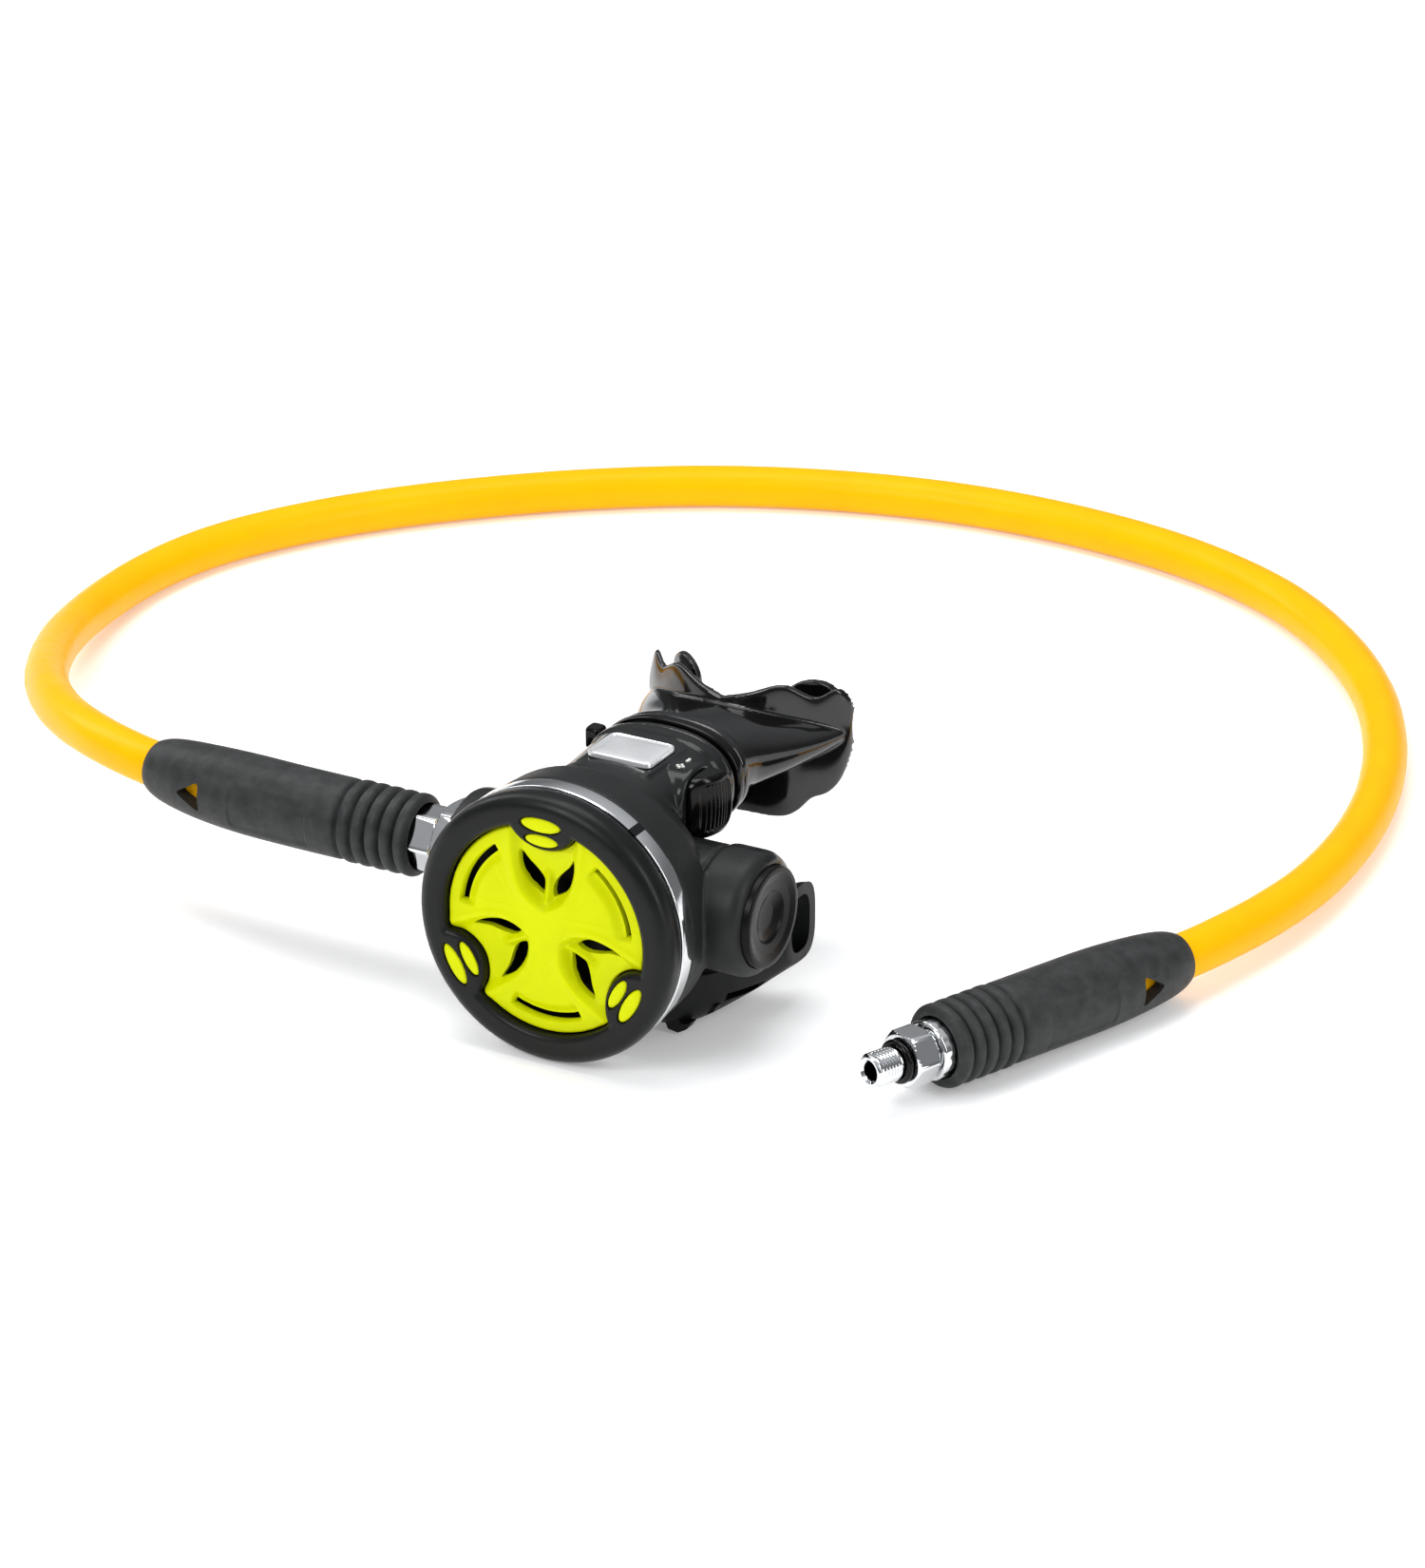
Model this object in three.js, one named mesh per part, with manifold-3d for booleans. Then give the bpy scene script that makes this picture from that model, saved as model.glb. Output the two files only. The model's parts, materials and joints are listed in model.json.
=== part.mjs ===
// The second stage of a scuba regulator with its low-pressure hose, as one assembly of separate pieces.
// Millimetres, +Z up. The regulator stands on its cover ring and exhaust tee, with its cover facing -Y
// and its mouthpiece towards +Y. The hose lies in one open loop behind it and ends in a threaded fitting.

import * as THREE from "three";
import { mergeVertices } from "three/addons/utils/BufferGeometryUtils.js";
import Module from "manifold-3d";

const wasm = await Module();
wasm.setup();

// ---- Driving dimensions --------------------------------------------------------------------------

const GAP = 0.3; // between pieces that touch on the real object
const RIM_SEGMENTS = 36; // flats around the cover and the rim of the case
const HOUSING_SEGMENTS = 24; // around the barrel housing, the end cap and the valve seat
const BARREL_SEGMENTS = 16; // around the barrel, the valve train and the fittings

const RING_R = 37.8; // cover ring, which the regulator stands on
const RING_INNER_R = 29.6;
const RING_FRONT_Y = -4.5;
const RING_BACK_Y = 4.2;
const BOSS_COUNT = 3; // black bosses that reach from the ring over the purge cover
const BOSS_R = 11;
const BOSS_CENTRE_R = 33.6;
const BOSS_FRONT_Y = -3.4;
const BOSS_BACK_Y = 0.5;
const TRIM_R = 37.5;
const TRIM_BACK_Y = 9.6;
const COVER_R = RING_INNER_R - 0.4; // purge cover
const BAND_R = 37.2; // front band of the case
const BAND_FRONT_Y = TRIM_BACK_Y + GAP;
const BAND_BACK_Y = 23;

const BARREL_Y = 33; // air barrel, along X at the height of the cover's axis
const BARREL_R = 9.6;
const BARREL_BORE_R = 7.3;
const HOUSING_R = 17; // round housing of the case about the barrel
const HOUSING_LEFT_X = -44;
const HOUSING_RIGHT_X = 46.5;
const CAP_R = 13.8;
const DIMPLE_R = 7;

const TUBE_Z = 19.5; // mouthpiece tube, along Y
const TUBE_END_Y = 60.5;
const SPIGOT_END_Y = 71;
const ARCH_Y = 90.5; // front of the mouthpiece's flange, which curves like a dental arch
const ARCH_DEPTH = 17.5;
const FLANGE_HALF = 31.2;
const FLANGE_THICK = 2;
const BITE_Z = 17;
const LOBE_X = 19; // middle of the round lobes above and below each bite stop
const LOBE_R = 6.4;

const LEVER_Y = 45.5; // venturi lever, turning about X
const LEVER_Z = 22;
const LEVER_BOSS_R = 10;
const LEVER_BOSS_X = 19.2;
const LEVER_SWEEP_R = 9.4; // room that the turning paddle needs
const SHAFT_R = 2;

const SEAT_Z = -21; // exhaust valve seat under the case, facing down
const SEAT_Y = 40;

const HOSE_R = 6.35;
const BOOT_LENGTH = 87;
const BOOT_R = 11.15;
const RIB_COUNT = 5;
const RIB_PITCH = 4.4;
const FERRULE_R = 8.1;
const THREAD_R = 9.525 / 2; // 3/8-24 UNF
const FITTING_REACH = 23.3; // from the boot's front face to the tip of the thread

// Where each sub-assembly stands in the part's frame: origin under the middle of the regulator.
const COVER_AXIS = new THREE.Vector3(6.5, -55, RING_R);
const INLET_BOOT_FRONT = new THREE.Vector3(-51, COVER_AXIS.y + BARREL_Y, RING_R);
const TANK_BOOT_FRONT = new THREE.Vector3(103.5, -23.5, 12.4);
const TANK_HEADING = -110; // degrees from +X, the way the threaded fitting points
const TANK_PITCH = 1.2; // degrees, the boot's slim end is the lower one

// Centreline of the hose, from inside the inlet ferrule to inside the far one.
const HOSE_ROUTE = [
  [-58, -22, 37.8],
  [-80, -22, 37.8],
  [-100, -21.7, 37.9],
  [-120, -20.6, 38.1],
  [-138, -18, 38.2],
  [-152, -13.5, 37.8],
  [-167, -6, 36.6],
  [-183, 5.5, 34],
  [-199, 21, 30.4],
  [-215, 41, 25.5],
  [-230, 65, 19.9],
  [-243, 90, 14.4],
  [-252.5, 115, 10],
  [-258, 140, 7.4],
  [-259, 164, 6.4],
  [-254, 189, 6.4],
  [-243, 213, 6.4],
  [-226, 238, 6.4],
  [-203, 263, 6.4],
  [-175, 287, 6.4],
  [-142, 308, 6.4],
  [-105, 323, 6.4],
  [-66, 331, 6.4],
  [-26, 331, 6.4],
  [13, 323.5, 6.4],
  [48, 308, 6.4],
  [77, 285, 6.4],
  [101, 257, 6.4],
  [119, 226, 6.4],
  [131.5, 194, 6.4],
  [139, 162, 6.7],
  [142.5, 130, 7.8],
  [142, 102, 9.2],
  [138, 76, 10.2],
  [132.7, 56.6, 10.6],
  [125.5, 36.9, 11],
  [118.3, 17.1, 11.5],
  [111.8, -0.8, 11.9],
  [105.9, -16.9, 12.3],
];

// ---- Materials -----------------------------------------------------------------------------------

const material = (color, roughness, metalness = 0) =>
  new THREE.MeshStandardMaterial({ color, roughness, metalness });

const RUBBER = material(0x1d1e1f, 0.7);
const CASE_PLASTIC = material(0x232425, 0.55);
const LIME = material(0xc4dc00, 0.45);
const CHROME = material(0xd8dadc, 0.15, 1);
const BRASS = material(0xb9954f, 0.3, 1);
const STEEL = material(0xb4b6b8, 0.3, 1);
const SILICONE = material(0x141414, 0.2);
const CLEAR_SILICONE = material(0xc9ccce, 0.4);
const GLOSS_PLASTIC = material(0x161616, 0.25);
const BADGE_SILVER = material(0xe4e6e8, 0.3, 0.6);
const HOSE_YELLOW = material(0xffb400, 0.5);
const WHITE_PLASTIC = material(0xdcdcd6, 0.5);

// ---- Geometry helpers ----------------------------------------------------------------------------

const radians = THREE.MathUtils.degToRad;

// A closed geometry as a manifold-3d solid, turned outwards if its faces point in.
function toSolid(geometry) {
  const bare = new THREE.BufferGeometry();
  bare.setAttribute("position", geometry.getAttribute("position").clone());
  bare.setIndex(geometry.index);
  const merged = mergeVertices(bare, 1e-3);
  const vertProperties = merged.getAttribute("position").array;
  const triVerts = Uint32Array.from(merged.index.array);
  const solid = new wasm.Manifold(new wasm.Mesh({ numProp: 3, vertProperties, triVerts }));
  if (solid.volume() > 0) return solid;
  for (let i = 0; i < triVerts.length; i += 3) {
    [triVerts[i], triVerts[i + 1]] = [triVerts[i + 1], triVerts[i]];
  }
  return new wasm.Manifold(new wasm.Mesh({ numProp: 3, vertProperties, triVerts }));
}

function toGeometry(solid) {
  const mesh = solid.getMesh();
  const geometry = new THREE.BufferGeometry();
  geometry.setAttribute("position", new THREE.BufferAttribute(mesh.vertProperties, 3));
  geometry.setIndex(new THREE.BufferAttribute(mesh.triVerts, 1));
  geometry.computeVertexNormals();
  return geometry;
}

const union = (...solids) => solids.reduce((all, next) => all.add(next));
const cut = (body, ...tools) => tools.reduce((left, tool) => left.subtract(tool), body);

// A solid of revolution from [radius, height] points, about the X, Y or Z axis through the centre.
function revolve(points, axis, centre = [0, 0, 0], segments = 24) {
  const profile = points.map(([r, h]) => new THREE.Vector2(r, h));
  if (profile[0].x > 0) profile.push(profile[0].clone());
  const geometry = new THREE.LatheGeometry(profile, segments);
  if (axis === "x") geometry.rotateZ(-Math.PI / 2);
  if (axis === "z") geometry.rotateX(Math.PI / 2);
  geometry.translate(...centre);
  return toSolid(geometry);
}

// A plain disc or ring between two heights on an axis.
function ring(outer, inner, from, to, axis, centre, segments) {
  const points = inner
    ? [[inner, from], [outer, from], [outer, to], [inner, to]]
    : [[0, from], [outer, from], [outer, to], [0, to]];
  return revolve(points, axis, centre, segments);
}

function box(low, high) {
  const size = high.map((value, i) => value - low[i]);
  const geometry = new THREE.BoxGeometry(...size);
  geometry.translate(...low.map((value, i) => value + size[i] / 2));
  return toSolid(geometry);
}

// A shape drawn in X and Z, extruded from one Y to another.
function extrudeAlongY(shape, from, to, curveSegments = 8) {
  const geometry = new THREE.ExtrudeGeometry(shape, { depth: to - from, bevelEnabled: false, curveSegments });
  geometry.rotateX(Math.PI / 2);
  geometry.translate(0, to, 0);
  return toSolid(geometry);
}

// A shape drawn in Y and Z, extruded from one X to another.
function extrudeAlongX(shape, from, to, curveSegments = 8) {
  const geometry = new THREE.ExtrudeGeometry(shape, { depth: to - from, bevelEnabled: false, curveSegments });
  geometry.applyMatrix4(new THREE.Matrix4().set(0, 0, 1, from, 1, 0, 0, 0, 0, 1, 0, 0, 0, 0, 0, 1));
  return toSolid(geometry);
}

// A shape drawn in X and Y, extruded from one Z to another.
function extrudeAlongZ(shape, from, to, curveSegments = 8) {
  const geometry = new THREE.ExtrudeGeometry(shape, { depth: to - from, bevelEnabled: false, curveSegments });
  geometry.translate(0, 0, from);
  return toSolid(geometry);
}

// A solid skinned over closed rings of points, with a fan over each end.
function loft(rings) {
  const count = rings[0].length;
  const points = rings.flat();
  const index = [];
  for (let row = 0; row + 1 < rings.length; row++) {
    for (let i = 0; i < count; i++) {
      const a = row * count + i;
      const b = row * count + ((i + 1) % count);
      index.push(a, b, a + count, b, b + count, a + count);
    }
  }
  for (const end of [0, rings.length - 1]) {
    const middle = new THREE.Vector3();
    rings[end].forEach((point) => middle.addScaledVector(point, 1 / count));
    points.push(middle);
    for (let i = 0; i < count; i++) {
      const pair = [end * count + i, end * count + ((i + 1) % count)];
      if (end === 0) pair.reverse();
      index.push(...pair, points.length - 1);
    }
  }
  const geometry = new THREE.BufferGeometry().setFromPoints(points);
  geometry.setIndex(index);
  return toSolid(geometry);
}

// A superellipse of half-sizes a and b as signed [across, up] pairs.
function oval(a, b, power = 2.4, count = 24) {
  return Array.from({ length: count }, (_, i) => {
    const angle = (2 * Math.PI * i) / count;
    const bend = (value) => Math.sign(value) * Math.abs(value) ** (2 / power);
    return [a * bend(Math.cos(angle)), b * bend(Math.sin(angle))];
  });
}

// An oval tube section along Y at the mouthpiece's height: rows are [y, half-width, half-height].
function ovalLoft(rows, power) {
  return loft(
    rows.map(([y, a, b]) => oval(a, b, power).map(([x, z]) => new THREE.Vector3(x, y, TUBE_Z + z))),
  );
}

function circlePath(x, y, r) {
  const shape = new THREE.Shape();
  shape.absarc(x, y, r, 0, 2 * Math.PI);
  return shape;
}

function hexagon(acrossFlats) {
  const r = acrossFlats / Math.sqrt(3);
  const corners = Array.from({ length: 6 }, (_, i) => {
    const angle = (i * Math.PI) / 3;
    return new THREE.Vector2(r * Math.cos(angle), r * Math.sin(angle));
  });
  return new THREE.Shape(corners);
}

function roundedRectangle(x, y, width, height, r) {
  const shape = new THREE.Shape();
  const [right, top, left, bottom] = [x + width / 2, y + height / 2, x - width / 2, y - height / 2];
  shape.absarc(right - r, top - r, r, 0, Math.PI / 2);
  shape.absarc(left + r, top - r, r, Math.PI / 2, Math.PI);
  shape.absarc(left + r, bottom + r, r, Math.PI, 1.5 * Math.PI);
  shape.absarc(right - r, bottom + r, r, 1.5 * Math.PI, 2 * Math.PI);
  return shape;
}

// An arc-shaped slot about the origin.
function arcSlot(radius, width, middle, spread) {
  const shape = new THREE.Shape();
  const [from, to] = [radians(middle - spread), radians(middle + spread)];
  shape.absarc(0, 0, radius + width / 2, from, to, false);
  shape.absarc(0, 0, radius - width / 2, to, from, true);
  return shape;
}

// A hexagonal nut along X with both rims chamfered.
function hexNut(acrossFlats, from, to, centre) {
  const prism = extrudeAlongX(hexagon(acrossFlats), from, to).translate(centre);
  const rim = acrossFlats / Math.sqrt(3);
  const face = acrossFlats / 2 - 0.3;
  const bevel = (rim - face) * 0.6;
  const envelope = [[0, from], [face, from], [rim, from + bevel], [rim, to - bevel], [face, to], [0, to]];
  return prism.intersect(revolve(envelope, "x", centre, 24));
}

const sectorAngles = Array.from({ length: BOSS_COUNT }, (_, i) => 90 + (i * 360) / BOSS_COUNT);
const lobeAngles = sectorAngles.map((angle) => angle + 180 / BOSS_COUNT);
const polar = (radius, angle) => [radius * Math.cos(radians(angle)), radius * Math.sin(radians(angle))];

// ---- Cover ---------------------------------------------------------------------------------------

const INLAYS = [
  { radius: 30.3, half: [5.9, 2] },
  { radius: 25.8, half: [4.9, 1.7] },
];

function inlayShape({ radius, half }, angle, growth = 0) {
  const shape = new THREE.Shape();
  const [x, z] = polar(radius, angle);
  const turn = radians(angle - 90);
  shape.absellipse(x, z, half[0] + growth, half[1] + growth, 0, 2 * Math.PI, false, turn);
  return shape;
}

function coverRing() {
  const profile = new THREE.Path();
  profile.moveTo(RING_INNER_R, BOSS_BACK_Y);
  profile.lineTo(RING_INNER_R, RING_FRONT_Y + 2);
  profile.bezierCurveTo(30.7, -4.9, 34.2, -5.4, 36.4, -2.9);
  profile.bezierCurveTo(38, -1.1, 38.1, 1.2, 37.2, RING_BACK_Y);
  profile.lineTo(RING_INNER_R + 2, RING_BACK_Y);
  profile.lineTo(RING_INNER_R + 2, BOSS_BACK_Y);
  const points = profile.getPoints(3).map((point) => [point.x, point.y]);
  const body = revolve(points, "y", [0, 0, 0], RIM_SEGMENTS);
  const bosses = sectorAngles.map((angle) =>
    extrudeAlongY(circlePath(...polar(BOSS_CENTRE_R, angle), BOSS_R), BOSS_FRONT_Y, BOSS_BACK_Y),
  );
  const limit = ring(RING_INNER_R + 3, 0, BOSS_FRONT_Y - 1, BOSS_BACK_Y + 1, "y");
  const pockets = sectorAngles.flatMap((angle) =>
    INLAYS.map((inlay) => extrudeAlongY(inlayShape(inlay, angle, GAP), RING_FRONT_Y - 1, -1.6, 8)),
  );
  return cut(union(body, union(...bosses).intersect(limit)), ...pockets);
}

function purgeCover() {
  const face = new THREE.Path();
  face.moveTo(0, -3);
  face.bezierCurveTo(8, -3, 18, -1.6, COVER_R, -1.4);
  const front = face.getPoints(4).map((point) => [point.x, point.y]);
  const disc = revolve([...front, [COVER_R, 1], [0, 1]], "y", [0, 0, 0], RIM_SEGMENTS);
  const notches = sectorAngles.map((angle) =>
    extrudeAlongY(circlePath(...polar(BOSS_CENTRE_R, angle), BOSS_R + 0.4), -5, 1.01),
  );
  const flange = ring(RING_INNER_R + 1.5, 0, 1, 2, "y", [0, 0, 0], RIM_SEGMENTS);
  const push = ring(5, 0, 1.9, 7.5, "y", [0, 0, 0], 24);
  const lobeSlots = lobeAngles.map((angle) => extrudeAlongY(arcSlot(24.6, 2, angle, 24), -5, 3, 4));
  const valleySlots = sectorAngles.flatMap((angle) =>
    [-1, 1].map((side) => extrudeAlongY(arcSlot(17.5, 3.6, angle + side * 14, 7), -5, 3, 2)),
  );
  return cut(union(cut(disc, ...notches), flange, push), ...lobeSlots, ...valleySlots);
}

function diaphragm() {
  const fold = (r) => 9.6 - 1.4 * Math.cos(((r - 14) / 15) * 2 * Math.PI);
  const radii = [14, 17, 20, 23, 26, 29];
  const front = radii.map((r) => [r, fold(r) - 0.5]);
  const back = radii.map((r) => [r, fold(r) + 0.5]).reverse();
  const rim = [[31.2, 10.3], [33.6, 10.3], [33.6, 12], [31.2, 12]];
  return revolve([[0, 8], ...front, ...rim, ...back, [0, 9]], "y");
}

// ---- Case ----------------------------------------------------------------------------------------

const barrelCentre = [0, BARREL_Y, 0];
const leverCentre = [0, LEVER_Y, LEVER_Z];

function caseShell() {
  const dome = [
    [0, BAND_FRONT_Y],
    [BAND_R, BAND_FRONT_Y],
    [BAND_R, BAND_FRONT_Y + 2],
    [BAND_R - 1, BAND_BACK_Y],
    [BAND_R - 2.4, BAND_BACK_Y + 1.2],
    [33, 28],
    [29.5, 34],
    [24, 40],
    [15, 45],
    [0, 47],
  ];
  const bowl = [
    [0, 8],
    [34, 8],
    [34, 12.3],
    [31, 12.3],
    [31, 22],
    [30, 27],
    [26.5, 33],
    [21, 38.5],
    [12, 43],
    [0, 44.5],
  ];
  const housing = new THREE.Path();
  housing.moveTo(0, HOUSING_LEFT_X);
  housing.lineTo(HOUSING_R - 3, HOUSING_LEFT_X);
  housing.quadraticCurveTo(HOUSING_R, HOUSING_LEFT_X, HOUSING_R, HOUSING_LEFT_X + 4);
  housing.lineTo(HOUSING_R, HOUSING_RIGHT_X - 4);
  housing.quadraticCurveTo(HOUSING_R, HOUSING_RIGHT_X, CAP_R + 1, HOUSING_RIGHT_X);
  housing.lineTo(0, HOUSING_RIGHT_X);
  const housingPoints = housing.getPoints(3).map((point) => [point.x, point.y]);
  const tube = [
    [24, 18, 13.2],
    [40, 18.8, 13.4],
    [56, 20.2, 13.7],
    [56.6, 21, 14.2],
    [TUBE_END_Y, 21, 14.2],
  ];
  const below = box([-60, BAND_BACK_Y + 1.5, -60], [60, 90, SEAT_Z]);
  const belowBowl = box([-60, BAND_BACK_Y, -60], [60, 90, SEAT_Z + 2.5]);
  const outside = union(
    cut(revolve(dome, "y", [0, 0, 0], RIM_SEGMENTS), below),
    cut(revolve(housingPoints, "x", barrelCentre), below),
    ovalLoft(tube, 2.6),
    ovalLoft([[TUBE_END_Y - 1, 17.6, 10.8], [SPIGOT_END_Y, 17.6, 10.8]]),
    box([-10.6, 34, 24], [10.6, 53, 32.7]),
    ring(LEVER_BOSS_R, 0, 6, LEVER_BOSS_X, "x", leverCentre, HOUSING_SEGMENTS),
    ring(15.5, 0, SEAT_Z, SEAT_Z + 4, "z", [0, SEAT_Y, 0], HOUSING_SEGMENTS),
  );
  const hollow = cut(
    outside,
    cut(revolve(bowl, "y"), belowBowl),
    ovalLoft([[28, 16, 10.3], [TUBE_END_Y, 15.6, 8.8], [SPIGOT_END_Y + 1, 15.6, 8.8]]),
    ring(BARREL_R + GAP, 0, -60, 60, "x", barrelCentre, BARREL_SEGMENTS),
    ring(12, 0, 34.5, 50, "x", barrelCentre, BARREL_SEGMENTS),
    ring(CAP_R + GAP, 0, 44, 50, "x", barrelCentre, HOUSING_SEGMENTS),
    ring(SHAFT_R + GAP, 0, 4, 30, "x", leverCentre, 16),
    ring(LEVER_SWEEP_R, 0, LEVER_BOSS_X, LEVER_BOSS_X + 8, "x", leverCentre, HOUSING_SEGMENTS),
    ring(11, 0, SEAT_Z - 1, SEAT_Z + 5, "z", [0, SEAT_Y, 0], HOUSING_SEGMENTS),
  );
  const spider = union(
    box([-11.5, SEAT_Y - 1.5, SEAT_Z], [11.5, SEAT_Y + 1.5, SEAT_Z + 2.4]),
    ring(3, 0, SEAT_Z, SEAT_Z + 2.4, "z", [0, SEAT_Y, 0], 16),
  );
  return cut(union(hollow, spider), ring(1.5, 0, SEAT_Z - 1, SEAT_Z + 4, "z", [0, SEAT_Y, 0], 12));
}

function endCap() {
  const profile = new THREE.Path();
  profile.moveTo(0, 36);
  profile.lineTo(11, 36);
  profile.lineTo(11, 44.3);
  profile.lineTo(CAP_R, 44.3);
  profile.quadraticCurveTo(CAP_R, 48.4, CAP_R - 1.6, 48.4);
  profile.quadraticCurveTo(10, 47.6, DIMPLE_R + 0.3, 47.4);
  profile.quadraticCurveTo(DIMPLE_R - 2, 46.2, 0, 45.8);
  const points = profile.getPoints(3).map((point) => [point.x, point.y]);
  return revolve(points, "x", barrelCentre, HOUSING_SEGMENTS);
}

// ---- Air barrel and demand valve -----------------------------------------------------------------

const BARREL_LEFT_X = -44.6; // shoulder outside the housing; the hose nut's thread goes on from there
const BARREL_RIGHT_X = 34;
const INLET_END_X = -54.5;
const LEVER_PIVOT = { x: 19, y: 26 };
const O_RING_X = [-39, 31];

function airBarrel() {
  const groove = (x) => [[8.1, x - 1], [8.1, x + 1]];
  const outer = [
    [2.6, INLET_END_X],
    [6.6, INLET_END_X],
    [7.1, INLET_END_X + 0.6],
    [7.1, BARREL_LEFT_X - 5.6],
    [BARREL_R - 0.2, BARREL_LEFT_X - 5.6],
    [BARREL_R - 0.2, BARREL_LEFT_X + 0.6],
    [BARREL_R, BARREL_LEFT_X + 0.6],
  ];
  O_RING_X.forEach((x) => outer.push([BARREL_R, x - 1], ...groove(x), [BARREL_R, x + 1]));
  const inner = [
    [BARREL_R, BARREL_RIGHT_X],
    [BARREL_BORE_R, BARREL_RIGHT_X],
    [BARREL_BORE_R, -45],
    [2.6, -45],
  ];
  const body = revolve([...outer, ...inner], "x", barrelCentre, BARREL_SEGMENTS);
  const leverSlot = box([10, BARREL_Y - 11, -5.2], [24, BARREL_Y - 3, 5.2]);
  const port = ring(3.5, 0, BARREL_Y, BARREL_Y + 12, "y", [-2, 0, 0], 20);
  return cut(body, leverSlot, port);
}

function orifice() {
  const points = [[2, -44.5], [7, -44.5], [7, -25], [5, -24.6], [3.4, -21], [2.6, -21], [2, -22]];
  return revolve(points, "x", barrelCentre, BARREL_SEGMENTS);
}

function poppet() {
  const points = [
    [0, -18.1],
    [4.3, -18.1],
    [4.3, -20],
    [6.6, -20],
    [6.6, -14.2],
    [3, -14.2],
    [2.2, -12],
    [2.2, 20.8],
    [0, 20.8],
  ];
  return revolve(points, "x", barrelCentre, BARREL_SEGMENTS);
}

function springWire() {
  const turns = 7;
  const [from, to] = [-13.2, 11.4];
  const perTurn = 8;
  const points = Array.from({ length: turns * perTurn + 1 }, (_, i) => {
    const along = i / (turns * perTurn);
    const angle = 2 * Math.PI * turns * along;
    return new THREE.Vector3(from + (to - from) * along, 5 * Math.cos(angle), 5 * Math.sin(angle));
  });
  const path = new THREE.CatmullRomCurve3(points);
  const geometry = new THREE.ExtrudeGeometry(circlePath(0, 0, 0.45), {
    steps: turns * perTurn,
    extrudePath: path,
    curveSegments: 3,
    bevelEnabled: false,
  });
  geometry.translate(...barrelCentre);
  return toSolid(geometry);
}

// The arm lies under the diaphragm; two feet straddle the poppet's stem inside the barrel.
function demandLever() {
  const tip = { x: -3, y: 11.6 };
  const arm = new THREE.Shape();
  arm.moveTo(tip.x - 2, tip.y);
  arm.lineTo(tip.x + 2, tip.y - 0.3);
  arm.lineTo(LEVER_PIVOT.x - 1, LEVER_PIVOT.y - 2.9);
  arm.lineTo(LEVER_PIVOT.x + 1.4, LEVER_PIVOT.y - 2);
  arm.lineTo(LEVER_PIVOT.x + 1.4, LEVER_PIVOT.y - 0.4);
  arm.lineTo(LEVER_PIVOT.x - 1.6, LEVER_PIVOT.y - 1.4);
  arm.lineTo(tip.x + 1.6, tip.y + 1.1);
  arm.lineTo(tip.x - 2, tip.y + 1.3);
  const plate = extrudeAlongZ(arm, -3, 3);
  const { x, y } = LEVER_PIVOT;
  const bridge = box([x - 1, y - 1.8, -4.4], [x + 0.8, y, 4.4]);
  const feet = [-1, 1].map((side) => {
    const [low, high] = [side * 3.4, side * 4.4].sort((a, b) => a - b);
    return box([x - 1, y - 0.5, low], [x + 0.8, BARREL_Y + 1, high]);
  });
  return union(plate, bridge, ...feet);
}

// A circle swept about the barrel's axis.
function barrelORing(x) {
  const section = Array.from({ length: 6 }, (_, i) => {
    const angle = (i * Math.PI) / 3;
    return [9.05 + 0.65 * Math.cos(angle), x + 0.65 * Math.sin(angle)];
  });
  return revolve(section, "x", barrelCentre, BARREL_SEGMENTS);
}

// ---- Venturi lever -------------------------------------------------------------------------------

function venturiLever() {
  const outline = roundedRectangle(LEVER_Y, LEVER_Z, 13, 16.5, 4.6);
  const paddle = extrudeAlongX(outline, 19.6, 26.2, 5);
  const socket = ring(SHAFT_R + GAP, 0, 19, 24, "x", leverCentre, 16);
  const grooves = [-4, -2, 0, 2, 4].map((z) =>
    box([25.7, LEVER_Y - 5, LEVER_Z + z - 0.4], [27, LEVER_Y + 5, LEVER_Z + z + 0.4]),
  );
  return cut(paddle, socket, ...grooves);
}

// ---- Exhaust -------------------------------------------------------------------------------------

function exhaustValve() {
  const disc = [[0, -1.2], [6, -1.2], [13, -0.9], [13, -0.3]];
  const stem = [[1, -0.3], [1, 3.6], [0, 3.6]];
  return revolve([...disc, ...stem], "z", [0, SEAT_Y, SEAT_Z], HOUSING_SEGMENTS);
}

// Stations of the tee: [x, front, back, low, high] in the YZ plane; the wings sweep back and up.
const TEE_STATIONS = [
  [0, 25.2, 57, -37.8, SEAT_Z - GAP],
  [14, 25.2, 58, -37.8, SEAT_Z - GAP],
  [24, 28, 62, -36.6, -19],
  [32, 39, 66, -32.5, -11],
  [37, 48, 69, -29, -5],
  [41, 54, 70, -26, -4],
];

function teeLoft(inset, overrun) {
  const section = ([x, front, back, low, high], side) =>
    oval((back - front) / 2 - inset, (high - low) / 2 - inset, 3, 16).map(
      ([across, up]) => new THREE.Vector3(side * x, (front + back) / 2 + across, (low + high) / 2 + up),
    );
  const last = TEE_STATIONS.at(-1);
  const stations = [...TEE_STATIONS.slice(0, -1), [last[0] + overrun, ...last.slice(1)]];
  const left = stations.slice(1).reverse().map((row) => section(row, -1));
  const right = stations.map((row) => section(row, 1));
  return loft([...left, ...right]);
}

function exhaustTee() {
  const housingRoom = ring(HOUSING_R + 0.5, 0, -50, 50, "x", barrelCentre, BARREL_SEGMENTS);
  const valveRoom = ring(14.2, 0, -27, SEAT_Z + 1, "z", [0, SEAT_Y, 0], HOUSING_SEGMENTS);
  const caseRoom = box([-33, 24, SEAT_Z - GAP], [33, 46, 0]);
  return cut(teeLoft(0, 0), teeLoft(2, 2), housingRoom, valveRoom, caseRoom);
}

// ---- Mouthpiece ----------------------------------------------------------------------------------

const archY = (x) => ARCH_Y + ARCH_DEPTH * (x / FLANGE_HALF) ** 2;

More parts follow.
